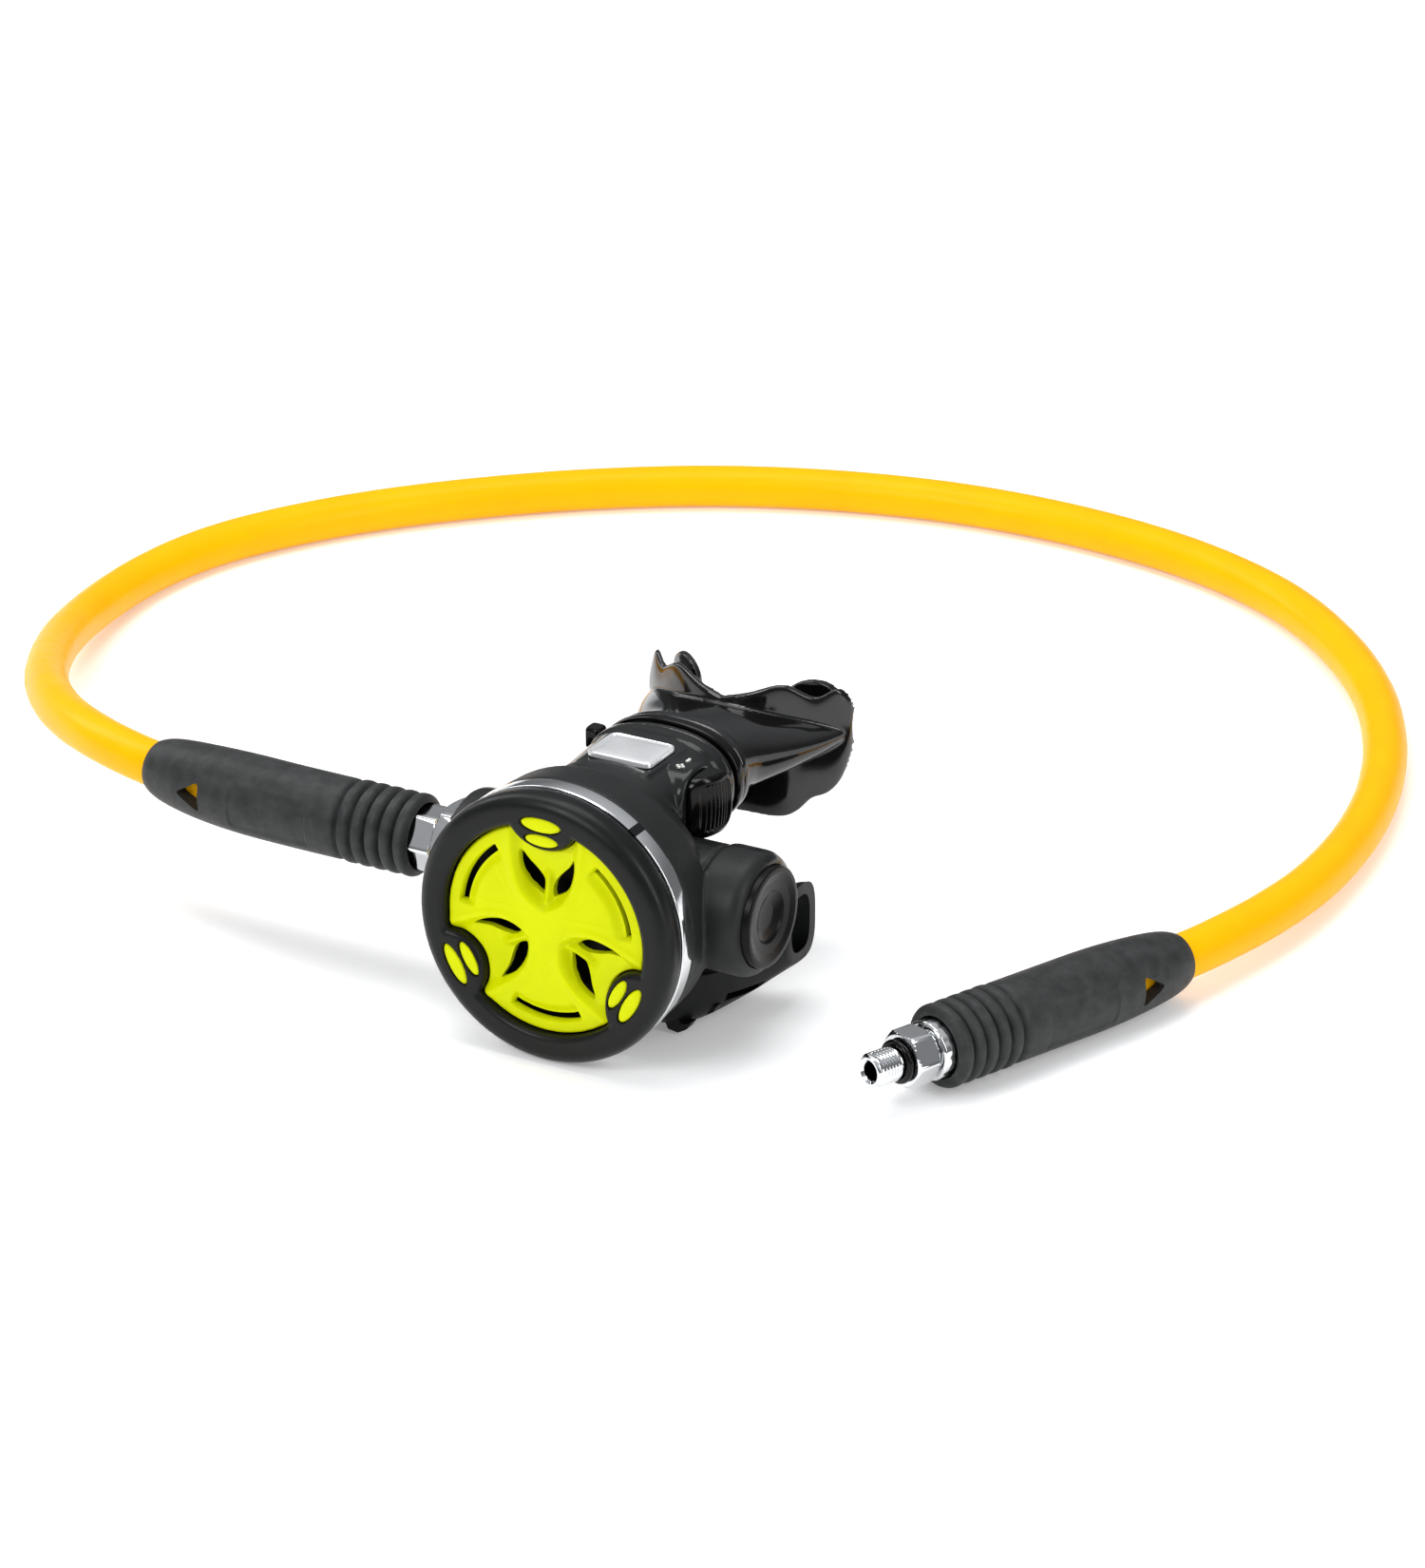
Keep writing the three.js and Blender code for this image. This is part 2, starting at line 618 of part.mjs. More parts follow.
const FLANGE_TOP = [[0, 30.2], [7, 32.2], [15.9, 34.9], [23, 31], [27.7, 32.9], [30.4, 29], [31.2, 24.5]];
const FLANGE_BOTTOM = [
  [0, -1.8],
  [8, -2.4],
  [15.8, -3.4],
  [19.6, -1.8],
  [22.6, 1.6],
  [26, 2.8],
  [28.6, 6.5],
  [30.6, 14],
  [31.2, 20],
];

function heightAt(knots, x) {
  const curve = new THREE.SplineCurve(knots.map(([px, py]) => new THREE.Vector2(px, py)));
  const points = curve.getPoints(60);
  const after = points.findIndex((point) => point.x >= Math.abs(x));
  if (after < 1) return points.at(after).y;
  const [a, b] = [points[after - 1], points[after]];
  return a.y + ((b.y - a.y) * (Math.abs(x) - a.x)) / (b.x - a.x);
}

function flange() {
  const steps = 18;
  const rows = 4;
  const rings = Array.from({ length: steps + 1 }, (_, i) => {
    const x = FLANGE_HALF * 0.999 * Math.sin((Math.PI * (i / steps - 0.5)));
    const [low, high] = [heightAt(FLANGE_BOTTOM, x), heightAt(FLANGE_TOP, x)];
    const column = Array.from({ length: rows + 1 }, (_, row) => {
      const z = low + ((high - low) * row) / rows;
      const lip = 1.6 * Math.abs((2 * row) / rows - 1) ** 3;
      return [z, archY(x) + lip];
    });
    const front = column.map(([z, y]) => new THREE.Vector3(x, y, z));
    const back = column.map(([z, y]) => new THREE.Vector3(x, y + FLANGE_THICK, z)).reverse();
    return [...front, ...back];
  });
  return loft(rings);
}

// The space between two curves parallel to the arch, for x from one value to another.
function archStrip(from, to, near, far) {
  const xs = Array.from({ length: 9 }, (_, i) => from + ((to - from) * i) / 8);
  const nearEdge = xs.map((x) => new THREE.Vector2(x, archY(x) + near));
  const farEdge = xs.map((x) => new THREE.Vector2(x, archY(x) + far)).reverse();
  return new THREE.Shape([...nearEdge, ...farEdge]);
}

// The upright plate behind the teeth at the end of one bite tab, with a round lobe at its top and bottom.
function biteStop(side, near, far) {
  const strip = extrudeAlongZ(archStrip(near, far, 9, 11.6), BITE_Z - 20, BITE_Z + 20);
  const lobes = [BITE_Z - 9.5, BITE_Z + 10].map((z) =>
    ring(LOBE_R, 0, 80, 125, "y", [side * LOBE_X, 0, z], 16),
  );
  return strip.intersect(union(box([near, 80, BITE_Z - 10], [far, 125, BITE_Z + 10]), ...lobes));
}

function mouthpiece() {
  const collar = [
    [TUBE_END_Y + GAP, 20.6, 13.8],
    [63.4, 20.6, 13.8],
    [63.5, 19.6, 12.8],
    [67.3, 19.6, 12.8],
    [67.4, 20.6, 13.8],
    [71.5, 20.4, 13.6],
    [73, 18.6, 11.8],
    [80, 20, 11],
    [90, 25, 9.4],
    [100, 28.6, 7.4],
    [112, 31, 5],
  ];
  const trunk = ovalLoft(collar, 2.3);
  const behindArch = extrudeAlongZ(archStrip(-40, 40, FLANGE_THICK / 2, 60), -30, 70);
  const bore = union(
    ovalLoft([[TUBE_END_Y - 1, 18, 11.2], [SPIGOT_END_Y + GAP, 18, 11.2]]),
    ovalLoft([[SPIGOT_END_Y, 15.6, 8.8], [84, 13, 6.4], [120, 12, 5.6]]),
  );
  const tabs = [-1, 1].flatMap((side) => {
    const [near, far] = [side * 8, side * 25].sort((a, b) => a - b);
    return [
      extrudeAlongZ(archStrip(near, far, 1, 11.4), BITE_Z - 1.3, BITE_Z + 1.3),
      biteStop(side, near, far),
    ];
  });
  return cut(union(cut(trunk, behindArch), flange(), ...tabs), bore);
}

function mouthpieceTie() {
  const band = cut(
    ovalLoft([[63.8, 21.4, 14.6], [67, 21.4, 14.6]], 2.3),
    ovalLoft([[63, 19.9, 13.1], [68, 19.9, 13.1]], 2.3),
  );
  const head = box([-25.6, 62.9, TUBE_Z + 1.5], [-20.9, 67.9, TUBE_Z + 7.5]);
  return union(band, head);
}

// ---- Hose ends -----------------------------------------------------------------------------------

// Radius of a boot's outside at a distance behind its front face.
function bootRadius(behind) {
  const ribZone = RIB_COUNT * RIB_PITCH;
  if (behind < ribZone) return 10.9 - 0.5 * Math.cos((2 * Math.PI * behind) / RIB_PITCH);
  const taper = Math.max(0, behind - 50) / (BOOT_LENGTH - 50);
  return BOOT_R - 2.6 * taper ** 2 - 1 * taper ** 10;
}

// A boot around a straight or bent line of [x, y, z] points, from its front face back.
function bootSolid(line, mouthR, mouthDepth) {
  const path = new THREE.CatmullRomCurve3(line);
  const length = path.getLength();
  const around = 14;
  const circleAt = (behind, r) => {
    const t = Math.min(Math.max(behind / length, 0), 1);
    const centre = path.getPointAt(t);
    const along = path.getTangentAt(t);
    centre.addScaledVector(along, behind - t * length);
    const side = new THREE.Vector3(0, 0, 1).cross(along).normalize();
    const up = new THREE.Vector3().crossVectors(along, side);
    return Array.from({ length: around }, (_, i) => {
      const angle = (2 * Math.PI * i) / around;
      return centre
        .clone()
        .addScaledVector(side, r * Math.cos(angle))
        .addScaledVector(up, r * Math.sin(angle));
    });
  };
  const ribStations = Array.from({ length: RIB_COUNT * 2 + 1 }, (_, i) => (i * RIB_PITCH) / 2);
  const bodyStations = [30, 50, 62, 72, 80, 84, 86, BOOT_LENGTH];
  const outside = loft([...ribStations, ...bodyStations].map((s) => circleAt(s, bootRadius(s))));
  const hoseBore = loft([mouthDepth - 1, 40, 60, 75, BOOT_LENGTH + 1].map((s) => circleAt(s, HOSE_R + 0.85)));
  const mouth = loft([-1, mouthDepth].map((s) => circleAt(s, mouthR)));
  const windowCentre = path.getPointAt(69 / length);
  const windowTurn = Math.atan2(path.getTangentAt(69 / length).y, path.getTangentAt(69 / length).x);
  const triangle = new THREE.Shape([
    new THREE.Vector2(-3, -3.6),
    new THREE.Vector2(3.4, 0),
    new THREE.Vector2(-3, 3.6),
  ]);
  const window = toGeometry(extrudeAlongY(triangle, -14, 14));
  window.rotateZ(windowTurn);
  window.translate(windowCentre.x, windowCentre.y, windowCentre.z);
  return cut(outside, hoseBore, mouth, toSolid(window));
}

const HOSE_START_X = -7; // how deep the hose's end is behind the boot's front face

// A crimped sleeve over the hose's end: [radius, x] points, +X towards the fitting.
function ferrule(stem) {
  const points = [
    ...stem,
    [FERRULE_R, -8],
    [FERRULE_R - 0.5, -8.6],
    [FERRULE_R - 0.5, -12],
    [FERRULE_R, -12.6],
    [FERRULE_R, -24],
    [HOSE_R + GAP, -24],
    [HOSE_R + GAP, HOSE_START_X + GAP],
    [2.4, HOSE_START_X + GAP],
  ];
  return revolve(points, "x", [0, 0, 0], BARREL_SEGMENTS);
}

// The hose nut, the ferrule and the boot at the regulator, with the boot's front face at x = 0.
const NUT_FROM = INLET_BOOT_FRONT.x - COVER_AXIS.x;

function hoseNut() {
  const body = hexNut(16, -4, 6.9, [0, 0, 0]);
  const thread = ring(7.4, 0, -1.6, 8, "x", [0, 0, 0], BARREL_SEGMENTS);
  const shoulder = ring(5.6, 0, -5, 8, "x", [0, 0, 0], BARREL_SEGMENTS);
  return cut(body, thread, shoulder);
}

function inletFerrule() {
  const flangeFrom = -1.3;
  const flangeTo = INLET_END_X - NUT_FROM - GAP;
  const stem = [[2.4, flangeTo], [6.9, flangeTo], [6.9, flangeFrom], [5.2, flangeFrom], [5.2, -4.4]];
  return ferrule([...stem, [7.2, -4.4], [FERRULE_R, -5.2]]);
}

// The threaded end, with the boot's front face at x = 0 and the tip at x = FITTING_REACH.
const HEX_BACK_X = 4.9;
const HEX_FRONT_X = 12.4;
const O_RING_SEAT_X = 14.7;

function tankFitting() {
  const profile = [
    [2.6, HEX_BACK_X],
    [6.2, HEX_BACK_X],
    [6.2, HEX_FRONT_X],
    [4, HEX_FRONT_X],
    [4, O_RING_SEAT_X],
    [THREAD_R, O_RING_SEAT_X + 0.5],
    [THREAD_R, FITTING_REACH - 0.6],
    [THREAD_R - 0.5, FITTING_REACH],
    [3.4, FITTING_REACH],
    [2.6, FITTING_REACH - 1.6],
  ];
  const body = revolve(profile, "x", [0, 0, 0], BARREL_SEGMENTS);
  const bore = ring(2.6, 0, 0, 30, "x", [0, 0, 0], 16);
  return cut(union(body, hexNut(14.3, HEX_BACK_X, HEX_FRONT_X, [0, 0, 0])), bore);
}

function tankORing() {
  const middle = (HEX_FRONT_X + O_RING_SEAT_X) / 2 + 0.05;
  const section = Array.from({ length: 6 }, (_, i) => {
    const angle = (i * Math.PI) / 3;
    return [5.2 + 0.9 * Math.cos(angle), middle + 0.9 * Math.sin(angle)];
  });
  return revolve(section, "x", [0, 0, 0], BARREL_SEGMENTS);
}

function tankFerrule() {
  const stem = [[2.4, HEX_BACK_X - GAP], [6, HEX_BACK_X - GAP], [6, 3.6], [7.6, 3.6], [FERRULE_R, 2.8]];
  return ferrule(stem);
}

function hose() {
  const path = new THREE.CatmullRomCurve3(HOSE_ROUTE.map((point) => new THREE.Vector3(...point)));
  const geometry = new THREE.ExtrudeGeometry(circlePath(0, 0, HOSE_R), {
    steps: 44,
    extrudePath: path,
    curveSegments: 5,
    bevelEnabled: false,
  });
  return toSolid(geometry);
}

// ---- Assembly ------------------------------------------------------------------------------------

function add(group, name, solid, look) {
  const mesh = new THREE.Mesh(toGeometry(solid), look);
  mesh.name = name;
  group.add(mesh);
}

const regulatorSet = new THREE.Group();

const secondStage = new THREE.Group();
secondStage.position.copy(COVER_AXIS);
regulatorSet.add(secondStage);

add(secondStage, "cover_ring", coverRing(), RUBBER);
add(secondStage, "purge_cover", purgeCover(), LIME);
sectorAngles.forEach((angle, sector) => {
  INLAYS.forEach((inlay, row) => {
    const solid = extrudeAlongY(inlayShape(inlay, angle), -4.3, -1.9, 8);
    add(secondStage, `cover_inlay_${sector * INLAYS.length + row + 1}`, solid, LIME);
  });
});
const trimRing = ring(TRIM_R, 34.8, RING_BACK_Y + GAP, TRIM_BACK_Y, "y", [0, 0, 0], RIM_SEGMENTS);
add(secondStage, "trim_ring", trimRing, CHROME);
add(secondStage, "diaphragm", diaphragm(), RUBBER);
add(secondStage, "diaphragm_plate", ring(11, 0, 9.3, 10.2, "y", [0, 0, 0], HOUSING_SEGMENTS), STEEL);
add(secondStage, "case_shell", caseShell(), CASE_PLASTIC);
const badge = extrudeAlongZ(roundedRectangle(0, 43.5, 19.4, 15, 2.5), 33.3, 34, 3);
add(secondStage, "top_badge", badge, BADGE_SILVER);
add(secondStage, "end_cap", endCap(), GLOSS_PLASTIC);

add(secondStage, "air_barrel", airBarrel(), BRASS);
const barrelNut = cut(
  hexNut(22, BARREL_LEFT_X - 5.2, BARREL_LEFT_X + 0.3, barrelCentre),
  ring(BARREL_R + 0.1, 0, -60, 0, "x", barrelCentre, BARREL_SEGMENTS),
);
add(secondStage, "barrel_nut", barrelNut, CHROME);
O_RING_X.forEach((x, i) => add(secondStage, `barrel_o_ring_${i + 1}`, barrelORing(x), RUBBER));
add(secondStage, "orifice", orifice(), BRASS);
add(secondStage, "poppet", poppet(), WHITE_PLASTIC);
add(secondStage, "poppet_seat", ring(4, 0, -20.6, -18.4, "x", barrelCentre, BARREL_SEGMENTS), RUBBER);
add(secondStage, "poppet_nut", ring(5.4, 0, 21.1, 24.2, "x", barrelCentre, BARREL_SEGMENTS), BRASS);
add(secondStage, "poppet_spring", springWire(), STEEL);
add(secondStage, "spring_washer", ring(7, 2.8, 12.2, 13.4, "x", barrelCentre, BARREL_SEGMENTS), STEEL);
add(secondStage, "demand_lever", demandLever(), STEEL);

add(secondStage, "venturi_lever", venturiLever(), GLOSS_PLASTIC);
add(secondStage, "venturi_shaft", ring(SHAFT_R, 0, 9.5, 23.6, "x", leverCentre, 16), GLOSS_PLASTIC);
const vane = box([-8, LEVER_Y - 0.8, LEVER_Z - 5], [9.2, LEVER_Y + 0.8, LEVER_Z + 5]);
add(secondStage, "venturi_vane", vane, GLOSS_PLASTIC);

add(secondStage, "exhaust_valve", exhaustValve(), CLEAR_SILICONE);
add(secondStage, "exhaust_tee", exhaustTee(), RUBBER);
add(secondStage, "mouthpiece", mouthpiece(), SILICONE);
add(secondStage, "mouthpiece_tie", mouthpieceTie(), GLOSS_PLASTIC);

const inletEnd = new THREE.Group();
inletEnd.position.copy(INLET_BOOT_FRONT);
regulatorSet.add(inletEnd);
const inletLine = [[0, 0, 0], [-29, 0, 0], [-49, 0.3, 0.1], [-69, 1.4, 0.3], [-87, 4, 0.4]];
add(inletEnd, "hose_nut", hoseNut(), CHROME);
add(inletEnd, "inlet_ferrule", inletFerrule(), CHROME);
const inletBoot = bootSolid(inletLine.map((point) => new THREE.Vector3(...point)), 9.6, 25);
add(inletEnd, "inlet_boot", inletBoot, RUBBER);

const tankEnd = new THREE.Group();
tankEnd.position.copy(TANK_BOOT_FRONT);
tankEnd.rotation.set(0, radians(-TANK_PITCH), radians(TANK_HEADING), "ZYX");
regulatorSet.add(tankEnd);
const tankLine = [0, -30, -60, -BOOT_LENGTH].map((x) => new THREE.Vector3(x, 0, 0));
add(tankEnd, "tank_fitting", tankFitting(), CHROME);
add(tankEnd, "tank_o_ring", tankORing(), RUBBER);
add(tankEnd, "tank_ferrule", tankFerrule(), CHROME);
add(tankEnd, "tank_boot", bootSolid(tankLine, FERRULE_R + 0.5, 25), RUBBER);

add(regulatorSet, "hose", hose(), HOSE_YELLOW);

export default regulatorSet;
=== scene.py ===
"""The looks of a scuba regulator's second stage with its hose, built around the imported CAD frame.

Lengths are in millimetres in the regulator's own frame, whose origin is on the cover's axis at the widest
plane of the cover ring: -Y is the way the cover faces, +Y the mouthpiece, +X the end cap, +Z up.
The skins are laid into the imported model's frame, in metres, by the matrices REGULATOR, INLET and TANK.
"""

import json
import math

import bmesh
import bpy
import numpy as np
from mathutils import Matrix, Vector


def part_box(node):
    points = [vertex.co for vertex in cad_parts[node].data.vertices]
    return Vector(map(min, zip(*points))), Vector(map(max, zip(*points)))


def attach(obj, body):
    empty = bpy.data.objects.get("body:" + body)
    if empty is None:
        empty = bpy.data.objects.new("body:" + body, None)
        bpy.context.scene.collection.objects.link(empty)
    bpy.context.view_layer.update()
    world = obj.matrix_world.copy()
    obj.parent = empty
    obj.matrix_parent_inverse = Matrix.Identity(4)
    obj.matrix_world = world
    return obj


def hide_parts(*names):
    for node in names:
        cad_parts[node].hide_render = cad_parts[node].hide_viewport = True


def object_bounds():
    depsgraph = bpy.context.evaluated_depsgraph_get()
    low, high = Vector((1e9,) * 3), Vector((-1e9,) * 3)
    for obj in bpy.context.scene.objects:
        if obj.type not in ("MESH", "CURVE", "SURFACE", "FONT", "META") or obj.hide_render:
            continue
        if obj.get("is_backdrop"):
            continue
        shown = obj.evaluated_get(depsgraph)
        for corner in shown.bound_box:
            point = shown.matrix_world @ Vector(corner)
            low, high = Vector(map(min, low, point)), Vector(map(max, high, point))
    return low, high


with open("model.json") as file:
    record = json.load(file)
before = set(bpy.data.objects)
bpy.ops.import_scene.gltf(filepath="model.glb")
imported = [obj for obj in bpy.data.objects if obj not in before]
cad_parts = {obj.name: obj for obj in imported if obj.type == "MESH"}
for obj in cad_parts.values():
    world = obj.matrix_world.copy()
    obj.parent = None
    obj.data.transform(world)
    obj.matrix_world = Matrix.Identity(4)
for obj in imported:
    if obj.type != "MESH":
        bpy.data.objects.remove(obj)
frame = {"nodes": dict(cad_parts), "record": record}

MM = 0.001
CAD_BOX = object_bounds()

# ---- Driving dimensions ----

RING_R = 37.8
RING_INNER_R = 29.6
RING_CREST_R = 33.5
RING_CREST_Y = -4.4
RING_BACK_Y = 4.2
BOSS_R = 11.0
BOSS_CENTRE_R = 33.6
BOSS_ANGLES = (90, 210, 330)
PETAL_ANGLES = (30, 150, 270)
INLAYS = ((30.3, 5.9, 2.0), (25.8, 4.9, 1.7))  # centre radius and half-sizes
INLAY_BACK_Y = -1.9
COVER_CLEARANCE = 0.3
COVER_MIDDLE_Y = -2.95
COVER_DOME = 1.15
COVER_THICK = 2.0
RIM_ROUND = 0.8
SLOT_R = 24.75
SLOT_HALF_WIDTH = 0.95
SLOT_SPREAD = 23.5  # degrees to either side of the petal's middle
TRIM_R = 37.5
TRIM_INNER_R = 34.8
TRIM_FRONT_Y = 4.5
TRIM_BACK_Y = 9.6
NOTCH_ANGLE = -53
NOTCH_HALF = 1.3
NOTCH_FLOOR_R = 35.6

BARREL_Y = 33.0
BARREL_BORE_R = 9.9
HOUSING_R = 17.0
HOUSING_LEFT_X = -44.0
HOUSING_RIGHT_X = 46.5
CAP_R = 13.8
CAP_SEAT_X = 44.0
DIMPLE_R = 7.0
GLOSS_FROM_Y = 33.0
TUBE_Z = 19.5
TUBE_END_Y = 60.5
SPIGOT_END_Y = 71.0
SPIGOT_HALVES = (17.6, 10.8)
TUBE_BORE_HALVES = (15.6, 8.8)
ARCH_Y = 90.5
ARCH_DEPTH = 17.5
FLANGE_HALF = 31.2
FLANGE_THICK = 2.0
BITE_Z = 17.0
BITE_FROM_X = 8.0
BITE_TO_X = 25.0
BITE_DEPTH = 11.4
BITE_HALF_THICK = 1.3
LOBE_X = 19.0
LOBE_R = 6.4
LEVER_Y = 45.5
LEVER_Z = 22.0
LEVER_BOSS_X = 19.2
SHAFT_R = 2.3
SEAT_Y = 40.0
SEAT_Z = -21.0

HOSE_R = 6.35
BOOT_LENGTH = 87.0
BOOT_R = 11.15
BOOT_TAPER_FROM = 50.0
RIB_COUNT = 5
RIB_PITCH = 4.4
RIB_R = 11.4
RIB_GROOVE = 2.1
PANEL_FROM = 31.0
PANEL_TO = 56.0
PANEL_EDGE = 0.6
PANEL_HALF_ANGLE = 0.61
PANEL_DEPTH = 0.45
WINDOW_AT = 69.0
FERRULE_R = 8.1
FERRULE_END_X = -24.0
FERRULE_STOP_X = -6.9
FERRULE_BORE_R = 2.4
FLUTE_DEPTH = 0.22
INLET_HEX = 16.0
BARREL_HEX = 22.0
FITTING_HEX = 14.3
THREAD_R = 9.525 / 2
THREAD_PITCH = 25.4 / 24
THREAD_DEPTH = 0.6

# The hose's centreline in metres, as the CAD has it.
HOSE_ROUTE = [
    (-0.058, -0.022, 0.0378), (-0.080, -0.022, 0.0378), (-0.100, -0.0217, 0.0379),
    (-0.120, -0.0206, 0.0381), (-0.138, -0.018, 0.0382), (-0.152, -0.0135, 0.0378),
    (-0.167, -0.006, 0.0366), (-0.183, 0.0055, 0.034), (-0.199, 0.021, 0.0304),
    (-0.215, 0.041, 0.0255), (-0.230, 0.065, 0.0199), (-0.243, 0.090, 0.0144),
    (-0.2525, 0.115, 0.010), (-0.258, 0.140, 0.0074), (-0.259, 0.164, 0.0064),
    (-0.254, 0.189, 0.0064), (-0.243, 0.213, 0.0064), (-0.226, 0.238, 0.0064),
    (-0.203, 0.263, 0.0064), (-0.175, 0.287, 0.0064), (-0.142, 0.308, 0.0064),
    (-0.105, 0.323, 0.0064), (-0.066, 0.331, 0.0064), (-0.026, 0.331, 0.0064),
    (0.013, 0.3235, 0.0064), (0.048, 0.308, 0.0064), (0.077, 0.285, 0.0064),
    (0.101, 0.257, 0.0064), (0.119, 0.226, 0.0064), (0.1315, 0.194, 0.0064),
    (0.139, 0.162, 0.0067), (0.1425, 0.130, 0.0078), (0.142, 0.102, 0.0092),
    (0.138, 0.076, 0.0102), (0.1327, 0.0566, 0.0106), (0.1255, 0.0369, 0.011),
    (0.1183, 0.0171, 0.0115), (0.1118, -0.0008, 0.0119), (0.1059, -0.0169, 0.0123),
]

# ---- Where the sub-assemblies stand ----


def middle(node):
    low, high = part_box(node)
    return (low + high) / 2


def mount_axis(name):
    mounts = {mount["name"]: mount for mount in frame["record"]["mounts"]}
    return Vector(mounts[name]["axis"]).normalized()


COVER_AXIS = middle("trim_ring")
COVER_AXIS.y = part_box("trim_ring")[0].y - TRIM_FRONT_Y * MM
INLET_FRONT = middle("hose_nut")
INLET_FRONT.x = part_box("inlet_boot")[1].x
TANK_FRONT = Vector((0.1035, -0.0235, 0.0124))  # middle of the far boot's front face, as the CAD has it

SCALE = Matrix.Scale(MM, 4)
REGULATOR = Matrix.Translation(COVER_AXIS) @ SCALE
INLET = Matrix.Translation(INLET_FRONT) @ SCALE
TANK_TURN = mount_axis("tank_fitting_tip").to_track_quat("X", "Z").to_matrix().to_4x4()
TANK = Matrix.Translation(TANK_FRONT) @ TANK_TURN @ SCALE

# ---- Mesh helpers ----


def smoothstep(low, high, value):
    t = np.clip((value - low) / (high - low), 0, 1)
    return t * t * (3 - 2 * t)


def smooth_max(a, b, width):
    share = np.clip(0.5 + 0.5 * (a - b) / width, 0, 1)
    return b + (a - b) * share + width * share * (1 - share)


def add(name, data):
    """A new object in the scene."""
    piece = bpy.data.objects.new(name, data)
    bpy.context.scene.collection.objects.link(piece)
    return piece


def new_mesh(name, verts, faces, place):
    """A mesh object with its faces turned outwards, from points in a local frame."""
    verts = np.asarray(verts, float)
    matrix = np.array(place)
    verts = verts @ matrix[:3, :3].T + matrix[:3, 3]
    mesh = bpy.data.meshes.new(name)
    mesh.from_pydata(verts.tolist(), [], faces)
    shape = bmesh.new()
    shape.from_mesh(mesh)
    bmesh.ops.recalc_face_normals(shape, faces=shape.faces)
    shape.to_mesh(mesh)
    shape.free()
    return add(name, mesh)


def skin(name, rows, loop=False, place=REGULATOR):
    """A closed mesh over rows of points that each run once round. A row of one point is a pole, and with
    loop the last row joins the first."""
    verts = []
    index = []
    for row in rows:
        index.append(range(len(verts), len(verts) + len(row)))
        verts.extend(row)
    faces = []
    for a, b in zip(index, index[1:] + index[:1] if loop else index[1:]):
        count = max(len(a), len(b))
        for i in range(count):
            j = (i + 1) % count
            if len(a) == 1:
                faces.append((a[0], b[i], b[j]))
            elif len(b) == 1:
                faces.append((a[i], a[j], b[0]))
            else:
                faces.append((a[i], a[j], b[j], b[i]))
    return new_mesh(name, verts, faces, place)


AXES = {
    "x": lambda c, s, h: np.stack([h + 0 * c, c, s], 1),
    "y": lambda c, s, h: np.stack([c, h + 0 * c, s], 1),
    "z": lambda c, s, h: np.stack([c, s, h + 0 * c], 1),
}


def circle_row(radius, height, axis, centre, segments):
    """One row round an axis; radius may be a number or a function of the angle."""
    if not callable(radius) and radius < 1e-6:
        return AXES[axis](np.zeros(1), np.zeros(1), height) + np.asarray(centre)
    angle = 2 * np.pi * np.arange(segments) / segments
    reach = radius(angle) if callable(radius) else radius
    return AXES[axis](reach * np.cos(angle), reach * np.sin(angle), height) + np.asarray(centre)


def lathe(name, profile, axis, centre=(0, 0, 0), segments=128, place=REGULATOR):
    """A solid of revolution from (radius, height) points, closed through its own bore or at the axis."""
    rows = [circle_row(r, h, axis, centre, segments) for r, h in profile]
    return skin(name, rows, loop=len(rows[0]) > 1, place=place)


def rounded(points, steps=5, closed=False):
    """The polyline's corners, each (x, y) or (x, y, radius), with those that have a radius rounded."""
    result = []
    count = len(points)
    for i, (x, y, *radius) in enumerate(points):
        if not radius or (not closed and i in (0, count - 1)):
            result.append((x, y))
            continue
        corner = Vector((x, y))
        before = Vector(points[i - 1][:2]) - corner
        after = Vector(points[(i + 1) % count][:2]) - corner
        shorter_side = min(before.length, after.length)
        reach = min(radius[0] / math.tan(before.angle(after) / 2), 0.49 * shorter_side)
        start = corner + before.normalized() * reach
        end = corner + after.normalized() * reach
        for k in range(steps + 1):
            t = k / steps
            result.append(tuple(start * (1 - t) ** 2 + corner * 2 * t * (1 - t) + end * t * t))
    return result


def catmull(rows, per_span=6, closed=False):
    """A smooth curve through rows of numbers, as an array with per_span steps between two rows."""
    rows = np.asarray(rows, float)
    count = len(rows)
    spans = count if closed else count - 1
    result = []
    for i in range(spans):
        around = [i + k for k in (-1, 0, 1, 2)]
        if closed:
            a, b, c, d = (rows[k % count] for k in around)
        else:
            a, b, c, d = (rows[min(max(k, 0), count - 1)] for k in around)
        for t in np.arange(per_span) / per_span:
            square = (2 * a - 5 * b + 4 * c - d) * t**2
            cube = (3 * b - a - 3 * c + d) * t**3
            result.append(0.5 * (2 * b + (c - a) * t + square + cube))
    if not closed:
        result.append(rows[-1])
    return np.array(result)


def oval(a, b, power=2.4, count=96):
    """A superellipse with half-sizes a and b: power 2 is an ellipse, more is squarer."""
    angle = 2 * np.pi * np.arange(count) / count
    c, s = np.cos(angle), np.sin(angle)
    bend = 2 / power
    return np.stack([a * np.sign(c) * abs(c) ** bend, b * np.sign(s) * abs(s) ** bend], 1)


def capped(rows):
    """Rows with a pole added in the middle of the first and the last one."""
    rows = [np.asarray(row) for row in rows]
    return [rows[0].mean(0, keepdims=True), *rows, rows[-1].mean(0, keepdims=True)]


